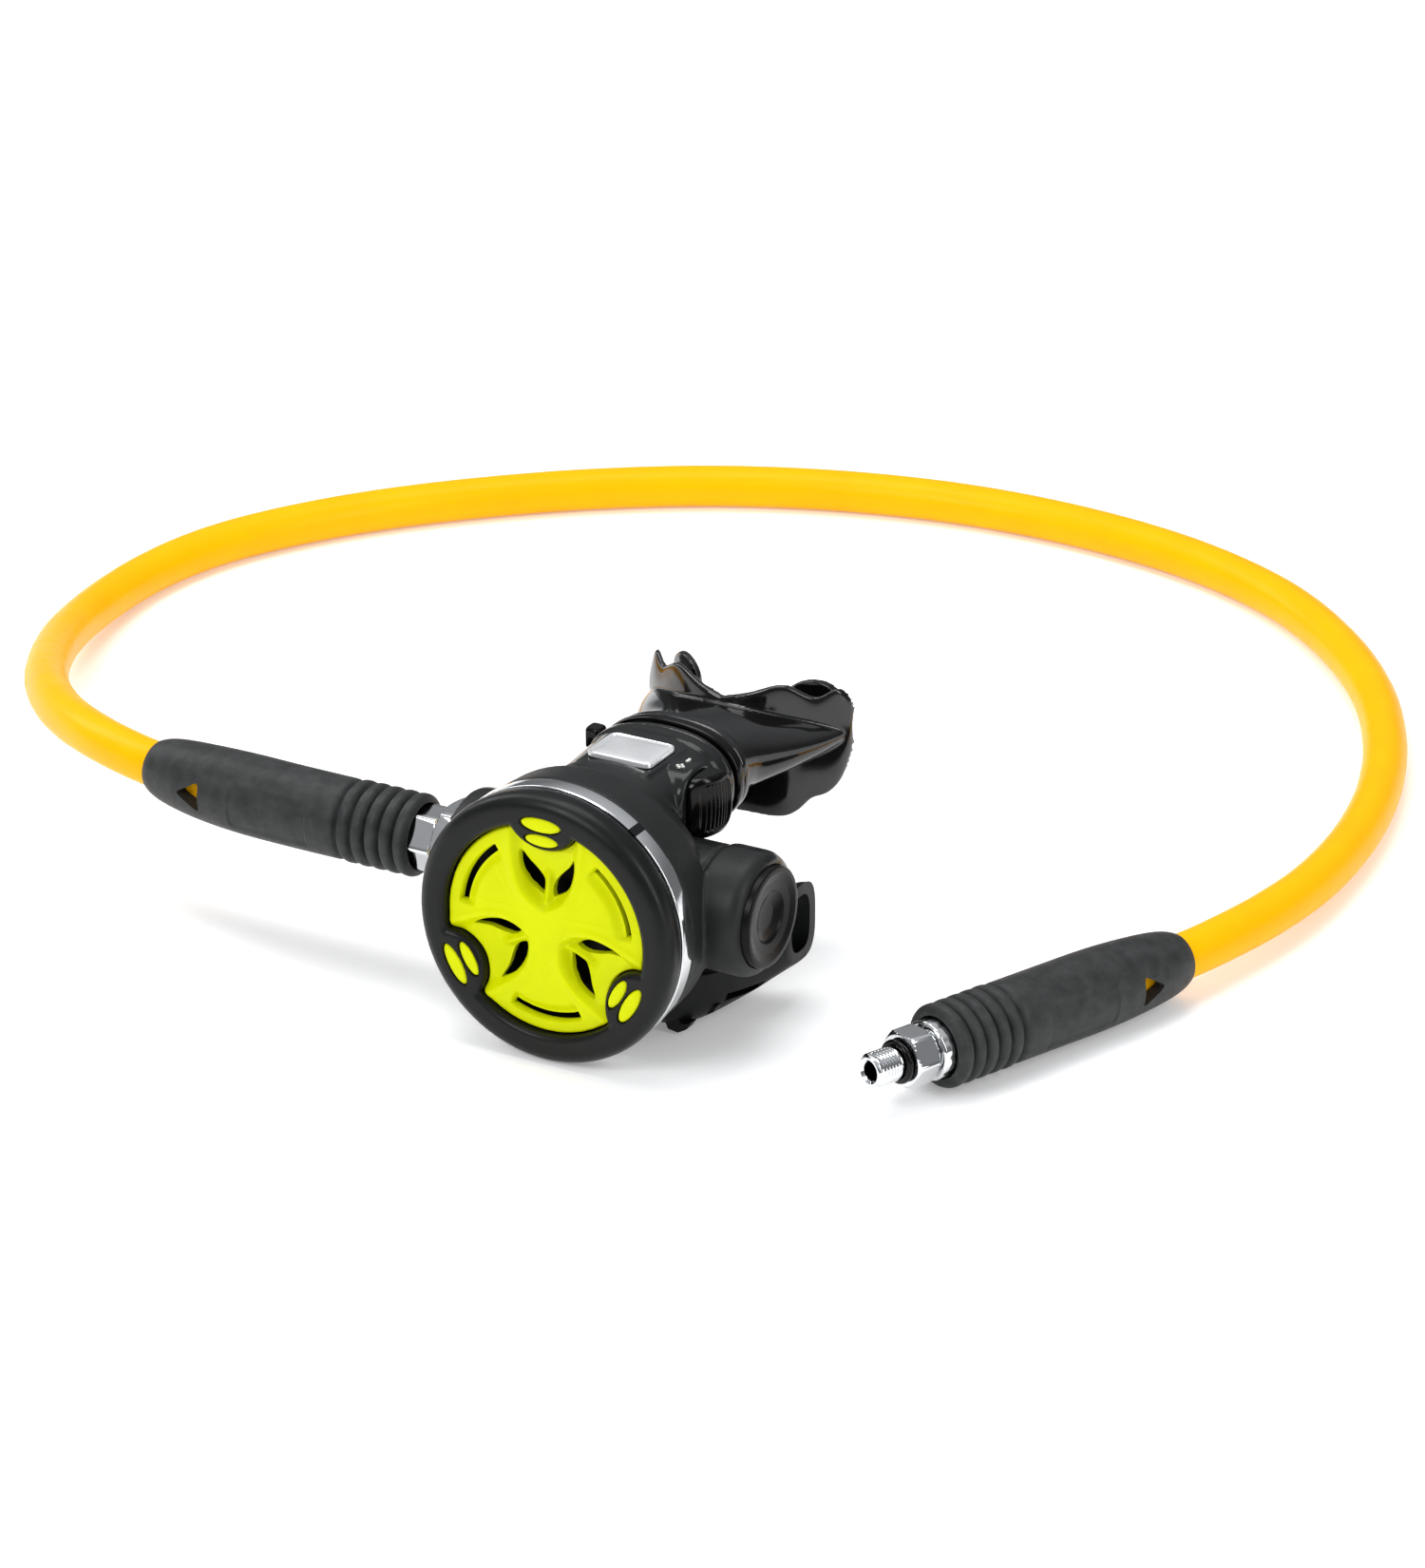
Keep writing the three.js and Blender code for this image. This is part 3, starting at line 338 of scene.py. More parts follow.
def oval_loft(name, stations, power=2.4, place=REGULATOR):
    """An oval tube along Y at the mouthpiece's height, from (y, half-width, half-height) stations."""
    rows = []
    for y, a, b in stations:
        section = oval(a, b, power)
        rows.append(np.stack([section[:, 0], np.full(len(section), y), TUBE_Z + section[:, 1]], 1))
    return skin(name, capped(rows), place=place)


def prism(name, outline, low, high, axis="y", place=REGULATOR):
    """A flat outline of (across, up) points drawn out along an axis from low to high."""
    outline = np.asarray(outline, float)
    order = {"x": (2, 0, 1), "y": (0, 2, 1), "z": (0, 1, 2)}[axis]
    rows = []
    for level in (low, high):
        flat = np.column_stack([outline, np.full(len(outline), level)])
        rows.append(flat[:, order])
    return skin(name, capped(rows), place=place)


def block(name, low, high, place=REGULATOR):
    (x0, y0, z0), (x1, y1, z1) = low, high
    return prism(name, [(x0, y0), (x1, y0), (x1, y1), (x0, y1)], z0, z1, "z", place)


def bake(piece):
    """Applies a piece's modifiers."""
    graph = bpy.context.evaluated_depsgraph_get()
    mesh = bpy.data.meshes.new_from_object(piece.evaluated_get(graph))
    piece.modifiers.clear()
    piece.data = mesh
    return piece


def combine(piece, others, operation):
    """Joins other pieces to a piece, cuts them from it, or keeps what it shares with them."""
    for other in others:
        boolean = piece.modifiers.new(operation, "BOOLEAN")
        boolean.operation = operation
        boolean.object = other
        boolean.solver = "MANIFOLD"
    bake(piece)
    for other in others:
        bpy.data.objects.remove(other)
    return piece


def carve(piece, *cutters):
    return combine(piece, cutters, "DIFFERENCE")


def fuse(name, parts, voxel, relax):
    """One smooth skin over overlapping closed parts, with soft fillets where they meet."""
    shape = bmesh.new()
    for part in parts:
        shape.from_mesh(part.data)
        bpy.data.objects.remove(part)
    mesh = bpy.data.meshes.new(name)
    shape.to_mesh(mesh)
    shape.free()
    piece = add(name, mesh)
    remesh = piece.modifiers.new("Remesh", "REMESH")
    remesh.mode = "VOXEL"
    remesh.voxel_size = voxel * MM
    smooth = piece.modifiers.new("Smooth", "SMOOTH")
    smooth.factor = 0.5
    smooth.iterations = relax
    return bake(piece)


# ---- Materials ----


NOISE_LOW = 0.3  # the noise textures stay between these two for nearly all of a surface
NOISE_HIGH = 0.7
GRAIN_SCALE = 2500


def map_range(tree, value, source, target):
    """A value carried from one range to another, as a socket."""
    node = tree.nodes.new("ShaderNodeMapRange")
    for end, from_value, to_value in zip(("Min", "Max"), source, target):
        node.inputs["From " + end].default_value = from_value
        node.inputs["To " + end].default_value = to_value
    tree.links.new(value, node.inputs["Value"])
    return node.outputs["Result"]


def material(name, colour, rough, metallic=0.0, specular=0.5, mottle=0.12, mottle_scale=90, grain=0.02,
             rough_spread=0.05, gloss_from=None, **sockets):
    """A moulded or plated surface: large soft mottling, fine grain in its bump, and uneven gloss."""
    look = bpy.data.materials.new(name)
    look.use_nodes = True
    nodes, links = look.node_tree.nodes, look.node_tree.links
    shader = nodes["Principled BSDF"]
    shader.inputs["Metallic"].default_value = metallic
    shader.inputs["Specular IOR Level"].default_value = specular
    for socket, value in sockets.items():
        shader.inputs[socket.replace("_", " ")].default_value = value
    place = nodes.new("ShaderNodeTexCoord")

    def noise(scale, detail):
        texture = nodes.new("ShaderNodeTexNoise")
        texture.inputs["Scale"].default_value = scale
        texture.inputs["Detail"].default_value = detail
        links.new(place.outputs["Object"], texture.inputs["Vector"])
        return texture.outputs["Fac"]

    ramp = nodes.new("ShaderNodeValToRGB")
    dark, light = ramp.color_ramp.elements
    dark.position = NOISE_LOW
    light.position = NOISE_HIGH
    dark.color = (*[c * (1 - mottle) for c in colour], 1)
    light.color = (*[min(1, c * (1 + mottle)) for c in colour], 1)
    links.new(noise(mottle_scale, 3), ramp.inputs["Fac"])
    links.new(ramp.outputs["Color"], shader.inputs["Base Color"])

    gloss = (max(0.02, rough - rough_spread), rough + rough_spread)
    roughness = map_range(look.node_tree, noise(mottle_scale * 3, 5), (NOISE_LOW, NOISE_HIGH), gloss)
    if gloss_from is not None:
        roughness = polished_beyond(gloss_from, look.node_tree, place, roughness)
    links.new(roughness, shader.inputs["Roughness"])

    bump = nodes.new("ShaderNodeBump")
    bump.inputs["Strength"].default_value = 1.0
    bump.inputs["Distance"].default_value = grain * MM
    links.new(noise(GRAIN_SCALE, 4), bump.inputs["Height"])
    links.new(bump.outputs["Normal"], shader.inputs["Normal"])
    return look


def polished_beyond(start, tree, place, roughness, width=1.5 * MM, polish=0.3):
    """A roughness that falls to a share of itself behind a plane across Y."""
    split = tree.nodes.new("ShaderNodeSeparateXYZ")
    product = tree.nodes.new("ShaderNodeMath")
    product.operation = "MULTIPLY"
    tree.links.new(place.outputs["Object"], split.inputs["Vector"])
    fade = map_range(tree, split.outputs["Y"], (start, start + width), (1.0, polish))
    tree.links.new(fade, product.inputs[0])
    tree.links.new(roughness, product.inputs[1])
    return product.outputs["Value"]


LOOKS = {}
for look_name, look_colour, look_rough, extras in (
    ("ring_rubber", (0.005, 0.0055, 0.0056), 0.36, dict(grain=0.006, mottle=0.15, specular=0.2)),
    ("case_plastic", (0.0125, 0.0135, 0.0135), 0.46,
     dict(grain=0.008, gloss_from=COVER_AXIS.y + GLOSS_FROM_Y * MM, specular=0.22)),
    ("boot_rubber", (0.028, 0.030, 0.030), 0.5,
     dict(grain=0.04, mottle=0.3, mottle_scale=260, specular=0.22)),
    ("tee_rubber", (0.0065, 0.0068, 0.0072), 0.45, dict(specular=0.2)),
    ("lime", (0.66, 0.72, 0.0), 0.36, dict(mottle=0.03, grain=0.006, specular=0.08)),
    ("chrome", (0.74, 0.75, 0.76), 0.08, dict(metallic=1.0, mottle=0.03, rough_spread=0.02, grain=0.001)),
    ("brass", (0.60, 0.44, 0.18), 0.28, dict(metallic=1.0, mottle=0.08)),
    ("steel", (0.56, 0.57, 0.58), 0.28, dict(metallic=1.0, mottle=0.05)),
    ("silicone_black", (0.004, 0.004, 0.0042), 0.1,
     dict(mottle=0.2, grain=0.003, rough_spread=0.02, specular=0.6)),
    ("silicone_clear", (0.6, 0.63, 0.64), 0.35, dict(mottle=0.04)),
    ("gloss_black", (0.002, 0.002, 0.002), 0.13, dict(grain=0.002, rough_spread=0.02, specular=0.2)),
    ("cap_black", (0.005, 0.005, 0.0053), 0.28,
     dict(mottle=0.06, grain=0.002, rough_spread=0.01, specular=0.1)),
    ("badge_silver", (0.80, 0.81, 0.82), 0.2,
     dict(metallic=0.5, mottle=0.06, grain=0.01, Coat_Weight=0.8, Coat_Roughness=0.04)),
    ("hose_yellow", (0.95, 0.45, 0.0), 0.36,
     dict(mottle=0.03, mottle_scale=60, grain=0.008, specular=0.08)),
    ("white_plastic", (0.72, 0.72, 0.68), 0.45, dict(mottle=0.03)),
):
    LOOKS[look_name] = material(look_name, look_colour, look_rough, **extras)


def dress(piece, look, crease=32):
    """Gives a piece its material and soft shading with creases kept."""
    piece.data.materials.clear()
    piece.data.materials.append(LOOKS[look])
    piece.data.shade_smooth()
    piece.data.set_sharp_from_angle(angle=math.radians(crease))
    return piece


def settle(piece, look, slot, body, *nodes, crease=32):
    """Dresses a piece, puts it on its body, and lets it stand for its CAD nodes."""
    dress(piece, look, crease)
    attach(piece, body)
    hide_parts(*nodes)
    return piece


# ---- Camera, light and floor ----


CAMERA_PLACE = (0.8622, -1.5111, 0.8300)
CAMERA_TARGET = (-0.0347, 0.1069, 0.0064)
LENS = 164.9
SENSOR_HEIGHT = 36.0
VIEW_DEPTH = 20.0

SKY_LOW = (0.3, 0.31, 0.32, 1)
SKY_HIGH = (0.95, 0.97, 1, 1)
SKY_STRENGTH = 0.6

# Name, place, the point that it faces, width and height in metres, and power in watts.
SOFTBOXES = (
    ("overhead", (-0.2, 0.2, 1.4), (0, 0, 0), (1.1, 0.7), 11),
    ("front_fill", (-0.5, -1.8, 1.5), (0, 0, 0.04), (0.9, 0.9), 22),
    ("right_strip", (1.3, -0.1, 0.7), (0, 0, 0.04), (0.3, 1.1), 7),
    ("left_strip", (-1.3, 0.3, 0.9), (0, 0, 0.04), (0.3, 1.1), 6),
)

FLOOR_HALF = 6
FLOOR_DROP = 0.0002
FLOOR_GLOW = 0.22


def facing(place, target):
    """The turn of a camera or lamp at a place that looks at the target."""
    return (Vector(target) - Vector(place)).to_track_quat("-Z", "Y").to_euler()


def camera():
    data = bpy.data.cameras.new("camera")
    data.sensor_fit = "VERTICAL"
    data.sensor_height = SENSOR_HEIGHT
    data.lens = LENS
    data.clip_end = VIEW_DEPTH
    eye = add("camera", data)
    eye.location = CAMERA_PLACE
    eye.rotation_euler = facing(CAMERA_PLACE, CAMERA_TARGET)
    bpy.context.scene.camera = eye


def softbox(name, place, target, size, power):
    data = bpy.data.lights.new(name, "AREA")
    data.shape = "RECTANGLE"
    data.size, data.size_y = size
    data.energy = power
    lamp = add(name, data)
    lamp.location = place
    lamp.rotation_euler = facing(place, target)


def sky():
    """A world that brightens softly from the horizon up."""
    world = bpy.data.worlds.new("studio")
    world.use_nodes = True
    nodes, links = world.node_tree.nodes, world.node_tree.links
    place = nodes.new("ShaderNodeTexCoord")
    height = nodes.new("ShaderNodeSeparateXYZ")
    ramp = nodes.new("ShaderNodeValToRGB")
    ramp.color_ramp.interpolation = "EASE"
    low, high = ramp.color_ramp.elements
    low.position = 0.2
    low.color = SKY_LOW
    high.position = 0.75
    high.color = SKY_HIGH
    links.new(place.outputs["Generated"], height.inputs["Vector"])
    links.new(height.outputs["Z"], ramp.inputs["Fac"])
    links.new(ramp.outputs["Color"], nodes["Background"].inputs["Color"])
    nodes["Background"].inputs["Strength"].default_value = SKY_STRENGTH
    bpy.context.scene.world = world
    bpy.context.scene.view_settings.view_transform = "Standard"


def floor():
    corners = [(x * FLOOR_HALF, y * FLOOR_HALF, 0) for x, y in ((-1, -1), (1, -1), (1, 1), (-1, 1))]
    mesh = bpy.data.meshes.new("floor")
    mesh.from_pydata(corners, [], [(0, 1, 2, 3)])
    plane = add("floor", mesh)
    plane.location.z = -FLOOR_DROP
    mesh.materials.append(material("floor", (0.93, 0.93, 0.93), 0.75, mottle=0.005, grain=0.0,
                                   Emission_Color=(1, 1, 1, 1), Emission_Strength=FLOOR_GLOW))
    plane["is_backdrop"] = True


camera()
sky()
for softbox_row in SOFTBOXES:
    softbox(*softbox_row)
floor()

# ---- Hose and its ends ----


def hose():
    """The hose as a cord, whose curve stays at or above the route's lowest point."""
    line = catmull(HOSE_ROUTE, 8)
    line[:, 2] = np.maximum(line[:, 2], min(z for _, _, z in HOSE_ROUTE))
    data = bpy.data.curves.new("hose_jacket", "CURVE")
    data.dimensions = "3D"
    data.bevel_depth = HOSE_R * MM
    data.bevel_resolution = 10
    spline = data.splines.new("POLY")
    spline.points.add(len(line) - 1)
    spline.points.foreach_set("co", np.column_stack([line, np.ones(len(line))]).ravel())
    spline.use_smooth = True
    jacket = add("hose_jacket", data)
    data.materials.append(LOOKS["hose_yellow"])
    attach(jacket, "case")
    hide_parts("hose")
    length = float(np.linalg.norm(np.diff(line, axis=0), axis=1).sum())
    return jacket, length


def boot_radius(behind, angle, panel_angle):
    """Radius of a boot's outside at a distance behind its front face and an angle round it."""
    ribs = RIB_COUNT * RIB_PITCH
    if behind < ribs:
        phase = (behind % RIB_PITCH) / RIB_PITCH
        return np.full(len(angle), RIB_R - RIB_GROOVE * abs(2 * phase - 1) ** 3.2)
    taper = max(0.0, behind - BOOT_TAPER_FROM) / (BOOT_LENGTH - BOOT_TAPER_FROM)
    body = BOOT_R - 2.6 * taper**2 - 1.2 * taper**12
    body -= 1.4 * math.exp(-(((behind - ribs) / 0.8) ** 2))
    off = (np.asarray(angle) - panel_angle + np.pi) % (2 * np.pi) - np.pi
    inside = smoothstep(PANEL_FROM, PANEL_FROM + PANEL_EDGE, behind)
    inside = inside * (1 - smoothstep(PANEL_TO - PANEL_EDGE, PANEL_TO, behind))
    inside = inside * (1 - smoothstep(PANEL_HALF_ANGLE - 0.05, PANEL_HALF_ANGLE, abs(off)))
    return body - PANEL_DEPTH * inside


# Where a boot's rings stand behind its front face: from, to and how many, closest at ribs and edges.
BOOT_RINGS = ((0, 23, 93), (23, 30, 8), (30.8, 31.8, 6), (33, 54, 12), (55.2, 56.2, 6), (57, 80, 20),
              (80, BOOT_LENGTH, 15))
BOOT_AROUND = 96
HOSE_BORE_R = HOSE_R + 0.35
FERRULE_ROOM = 25.0  # how far the wider bore round the ferrule goes in


def boot(name, line, place, mouth_r, panel_angle, window_turn):
    """A rubber protector: five ribs, a blank recessed panel, a tapered tail and a window through it."""
    path = catmull(line, 24)
    along = np.concatenate([[0], np.cumsum(np.linalg.norm(np.diff(path, axis=0), axis=1))])
    angle = 2 * np.pi * np.arange(BOOT_AROUND) / BOOT_AROUND

    def point(behind):
        return np.array([np.interp(behind, along, path[:, k]) for k in range(3)])

    def ring(behind, radius):
        chord = point(behind + 0.5) - point(behind - 0.5)
        tangent = chord / np.linalg.norm(chord)
        side = np.cross((0, 0, 1), tangent)
        side /= np.linalg.norm(side)
        up = np.cross(tangent, side)
        radius = np.broadcast_to(radius, BOOT_AROUND)[:, None]
        return point(behind) + radius * (np.cos(angle)[:, None] * side + np.sin(angle)[:, None] * up)

    stations = np.unique(np.round(np.concatenate([np.linspace(*span) for span in BOOT_RINGS]), 3))
    outside = [ring(behind, boot_radius(behind, angle, panel_angle)) for behind in stations]
    bore = ((BOOT_LENGTH, HOSE_BORE_R), (60, HOSE_BORE_R), (FERRULE_ROOM, HOSE_R + 0.4),
            (FERRULE_ROOM - 0.1, mouth_r), (0, mouth_r))
    inside = [ring(behind, radius) for behind, radius in bore]
    protector = skin(name, [*outside, *inside], loop=True, place=place)
    triangle = rounded([(3.4, -4.6, 1), (-4.6, 0, 1), (3.4, 4.6, 1)], closed=True)
    window = Matrix.Translation(point(WINDOW_AT)) @ Matrix.Rotation(window_turn, 4, "Z")
    return carve(protector, prism(name + "_window", triangle, -14, 14, place=place @ window))


def hex_radius(across_flats):
    """Radius of a hexagon with slightly eased corners, as a function of the angle."""
    corner = across_flats / math.sqrt(3)

    def radius(angle):
        flat = across_flats / 2 / np.cos(angle % (math.pi / 3) - math.pi / 6)
        return np.minimum(flat, corner * 0.985)

    return radius


NUT_AROUND = 180


def hexagon_rows(across_flats, start, end, centre=(0, 0, 0)):
    """Rows of a hexagonal nut along X with both rims chamfered."""
    shape = hex_radius(across_flats)
    face = across_flats / 2 - 0.25
    rise = across_flats / math.sqrt(3) - face
    limits = [(start + 0.6 * rise * share, face + rise * share) for share in (0, 0.1, 0.25, 0.45, 0.7, 1)]
    limits += [(start + end - x, limit) for x, limit in reversed(limits)]
    return [
        circle_row(lambda a, limit=limit: np.minimum(shape(a), limit), x, "x", centre, NUT_AROUND)
        for x, limit in limits
    ]


def hex_nut(name, across_flats, start, end, bore_r, centre=(0, 0, 0), place=REGULATOR):
    rows = hexagon_rows(across_flats, start, end, centre)
    rows += [circle_row(bore_r, x, "x", centre, NUT_AROUND) for x in (end, start)]
    return skin(name, rows, loop=True, place=place)


def fluted_ferrule(name, profile, place, flutes=0, fluted=(0, 0)):
    """A crimped sleeve along X; between two heights its outside is pressed into shallow flutes."""
    rows = []
    for r, x in profile:
        outside = r > HOSE_R + 0.65
        depth = FLUTE_DEPTH if flutes and fluted[0] <= x <= fluted[1] and outside else 0

        def radius(angle, r=r, depth=depth):
            return r - depth * (0.5 + 0.5 * np.cos(flutes * angle)) ** 3

        rows.append(circle_row(radius, x, "x", (0, 0, 0), 192))
    return skin(name, rows, loop=True, place=place)


def threaded_fitting():
    """The male end: hexagon, O-ring neck and a cut thread with a bore."""
    hex_back, hex_front, thread_from, tip, bore = 4.9, 12.4, 15.0, 23.3, 2.6
    thread_to = tip - 0.5
    run_out = 0.8

    def turned(radius, x):
        return circle_row(radius, x, "x", (0, 0, 0), NUT_AROUND)

    rows = hexagon_rows(FITTING_HEX, hex_back, hex_front)
    neck = [(6.6, hex_front + 0.01), (4.0, hex_front + 0.02), (4.0, thread_from - 0.3), (4.2, thread_from)]
    rows += [turned(r, x) for r, x in neck]
    for x in np.arange(thread_from + 0.1, thread_to, THREAD_PITCH / 10):
        ease = min(1.0, (x - thread_from) / run_out, (thread_to - x) / run_out)

        def thread(angle, x=x, ease=ease):
            phase = (x / THREAD_PITCH - angle / (2 * np.pi)) % 1
            crest = np.clip(1.25 - 2.5 * abs(phase - 0.5), 0, 1)
            return THREAD_R - 0.62 + THREAD_DEPTH * ease * crest

        rows.append(turned(thread, x))
    end = [(4.1, tip - 0.45), (3.95, tip - 0.1), (3.8, tip), (3.3, tip), (3.1, tip - 0.15),
           (bore, tip - 0.7), (bore, hex_back)]
    rows += [turned(r, x) for r, x in end]
    return skin("threaded_end", rows, loop=True, place=TANK)


def torus(name, major, minor, height, place):
    """A ring of round section about X."""
    turns = 2 * np.pi * np.arange(24) / 24
    profile = [(major + minor * math.cos(t), height + minor * math.sin(t)) for t in turns]
    return lathe(name, profile, "x", segments=96, place=place)


def hose_ends():
    """The pieces at both ends of the hose. Returns those that lie on it."""
    sleeve = [(FERRULE_R, FERRULE_END_X), (HOSE_R + 0.1, FERRULE_END_X), (HOSE_R + 0.1, FERRULE_STOP_X),
              (FERRULE_BORE_R, FERRULE_STOP_X)]
    inlet_line = [(0, 0, 0), (-29, 0, 0), (-49, 0.3, 0.1), (-69, 1.4, 0.3), (-87, 4, 0.4)]
    inlet = boot("inlet_protector", inlet_line, INLET, 9.6, 0, math.radians(-3))
    settle(inlet, "boot_rubber", "rubber_black", "case", "inlet_boot", crease=40)
    tank_line = [(-x, 0, 0) for x in (0, 30, 60, BOOT_LENGTH)]
    tank = boot("far_protector", tank_line, TANK, FERRULE_R + 0.5, math.pi, 0)
    settle(tank, "boot_rubber", "rubber_black", "case", "tank_boot", crease=40)
    nut = hex_nut("inlet_hexagon", INLET_HEX, -4, 6.9, 6.0, place=INLET)
    settle(nut, "chrome", "chrome", "case", "hose_nut")
    inner = fluted_ferrule("inlet_sleeve", rounded([
        (FERRULE_BORE_R, -3.8), (6.9, -3.8), (6.9, -1.4), (5.2, -1.4), (5.2, -4.4), (7.2, -4.4),
        (FERRULE_R, -5.2, 0.3), *sleeve]), INLET)
    settle(inner, "chrome", "chrome", "case", "inlet_ferrule")
    collar = fluted_ferrule("far_sleeve", rounded([
        (FERRULE_BORE_R, 4.6), (6.0, 4.6, 0.2), (6.0, 3.9, 0.2), (7.6, 3.7, 0.3), (FERRULE_R, 3.2, 0.4),
        (FERRULE_R, 0.6), *sleeve]), TANK, flutes=10, fluted=(0, 3.3))
    settle(collar, "chrome", "chrome", "case", "tank_ferrule")
    fitting = settle(threaded_fitting(), "chrome", "chrome", "case", "tank_fitting", crease=28)
    seal = torus("fitting_seal", 5.15, 0.85, 13.5, TANK)
    settle(seal, "gloss_black", "rubber_black", "case", "tank_o_ring")
    return [inlet, tank, inner, collar, fitting, seal]


jacket, hose_length = hose()
on_hose = hose_ends()
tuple(HOSE_ROUTE[0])

# ---- Cover ----


def polar(radius, degrees):
    return radius * math.cos(math.radians(degrees)), radius * math.sin(math.radians(degrees))


def quarter_round(near, radius):
    """How far a rounded edge has fallen, where near goes from 0 to the radius at the very edge."""
    return radius - np.sqrt(np.maximum(radius**2 - near**2, 0))


def inside_black(x, z):
    """How deep a point of the cover's face lies inside the ring and its three bosses."""
    depth = np.hypot(x, z) - RING_INNER_R
    for degrees in BOSS_ANGLES:
        cx, cz = polar(BOSS_CENTRE_R, degrees)
        depth = smooth_max(depth, BOSS_R - np.hypot(x - cx, z - cz), 0.9)
    return depth


def inner_edge(angle):
    """Radius at which the black outline starts in each direction, found by halving."""
    low = np.full(len(angle), 15.0)
    high = np.full(len(angle), RING_CREST_R)
    for _ in range(40):
        mid = (low + high) / 2
        black = inside_black(mid * np.cos(angle), mid * np.sin(angle)) > 0
        low, high = np.where(black, low, mid), np.where(black, mid, high)
    return (low + high) / 2


AROUND = 720
FACE_ANGLE = 2 * np.pi * np.arange(AROUND) / AROUND
EDGE = inner_edge(FACE_ANGLE)


def on_face(radius):
    return radius * np.cos(FACE_ANGLE), radius * np.sin(FACE_ANGLE)


def face_row(radius, height):
    x, z = on_face(radius)
    return np.stack([x, height + 0 * FACE_ANGLE, z], 1)


def boss_top(radius):
    """Y of the ring's and the bosses' front, which sinks towards the middle."""
    return RING_CREST_Y + 1.1 * np.clip((RING_CREST_R - radius) / BOSS_R, 0, 1) ** 2


def pockets(x, z):
    """Depth of the oval pockets in the bosses that hold the inlays."""
    depth = 0 * x
    for degrees in BOSS_ANGLES:
        turn = math.radians(degrees - 90)
        for radius, a, b in INLAYS:
            cx, cz = polar(radius, degrees)
            u = (x - cx) * math.cos(turn) + (z - cz) * math.sin(turn)
            v = (z - cz) * math.cos(turn) - (x - cx) * math.sin(turn)
            e = np.hypot(u / (a + 0.15), v / (b + 0.15))
            depth = np.maximum(depth, 1.1 * (1 - smoothstep(0.98, 1.04, e)))
    return depth


def cover_ring():
    rows = []
    edge_round = 1.7
    for t in np.linspace(0, 1, 60) ** 1.3:
        radius = EDGE + (RING_CREST_R - EDGE) * t
        x, z = on_face(radius)
        near = np.clip(edge_round - np.clip(inside_black(x, z), 0, None), 0, edge_round)
        fall = quarter_round(near, edge_round)
        rows.append(face_row(radius, boss_top(radius) + fall + pockets(x, z)))
    flank = RING_R - RING_CREST_R
    fullness = 0.9
    for turn in np.linspace(0, math.pi / 2, 16)[1:]:
        out, back = math.sin(turn) ** fullness, math.cos(turn) ** fullness
        rows.append(face_row(RING_CREST_R + flank * out, RING_CREST_Y * back))
    seat_r, seat_y = 31.6, 0.5
    behind = ((RING_R - 0.1, 1.5), (37.4, 3.6), (36.9, RING_BACK_Y), (seat_r, RING_BACK_Y),
              (seat_r, seat_y))
    rows += [face_row(radius, y) for radius, y in behind]
    rows.append(face_row(EDGE, seat_y))
    ring = skin("front_ring", rows, loop=True)
    settle(ring, "ring_rubber", "rubber_black", "case", "cover_ring", crease=50)


def inlay(name, node, degrees, radius, a, b):
    """One lime oval with a softly domed front."""
    turn = math.radians(degrees - 90)
    cx, cz = polar(radius, degrees)
    top = float(boss_top(radius)) + 0.02
    around = 2 * np.pi * np.arange(72) / 72
    rows = []
    shape = [(0, -0.02), (0.3, 0), (0.6, 0.05), (0.8, 0.13), (0.91, 0.24), (0.97, 0.4), (1, 0.65),
             (1, INLAY_BACK_Y - top), (0, INLAY_BACK_Y - top)]
    for share, drop in shape:
        u, v = share * a * np.cos(around), share * b * np.sin(around)
        row = np.stack([cx + u * math.cos(turn) - v * math.sin(turn), top + drop + 0 * u,
                        cz + u * math.sin(turn) + v * math.cos(turn)], 1)
        rows.append(row if share else row[:1])
    settle(skin(name, rows), "lime", "lime", "case", node)


# One valley of the purge cover, in coordinates along and across its boss's radius.
VALLEY_FLOOR_V = (5.2, 9, 13, 17, 22.6, 27)
VALLEY_DEPTH = (2.0, 3.4, 4.0, 3.3, 1.5, 1.2)
CRESCENT = [(8.0, 20.8), (8.2, 17.6), (7.3, 14.2), (5.2, 11.0), (2.0, 8.9), (1.3, 9.6), (1.25, 11.4),
            (1.7, 13.2), (3.4, 15.4), (5.8, 17.8)]


def valley_width(v):
    return 10.4 * np.clip(1 - np.exp(-(v - VALLEY_FLOOR_V[0]) / 6), 0, None) ** 0.75


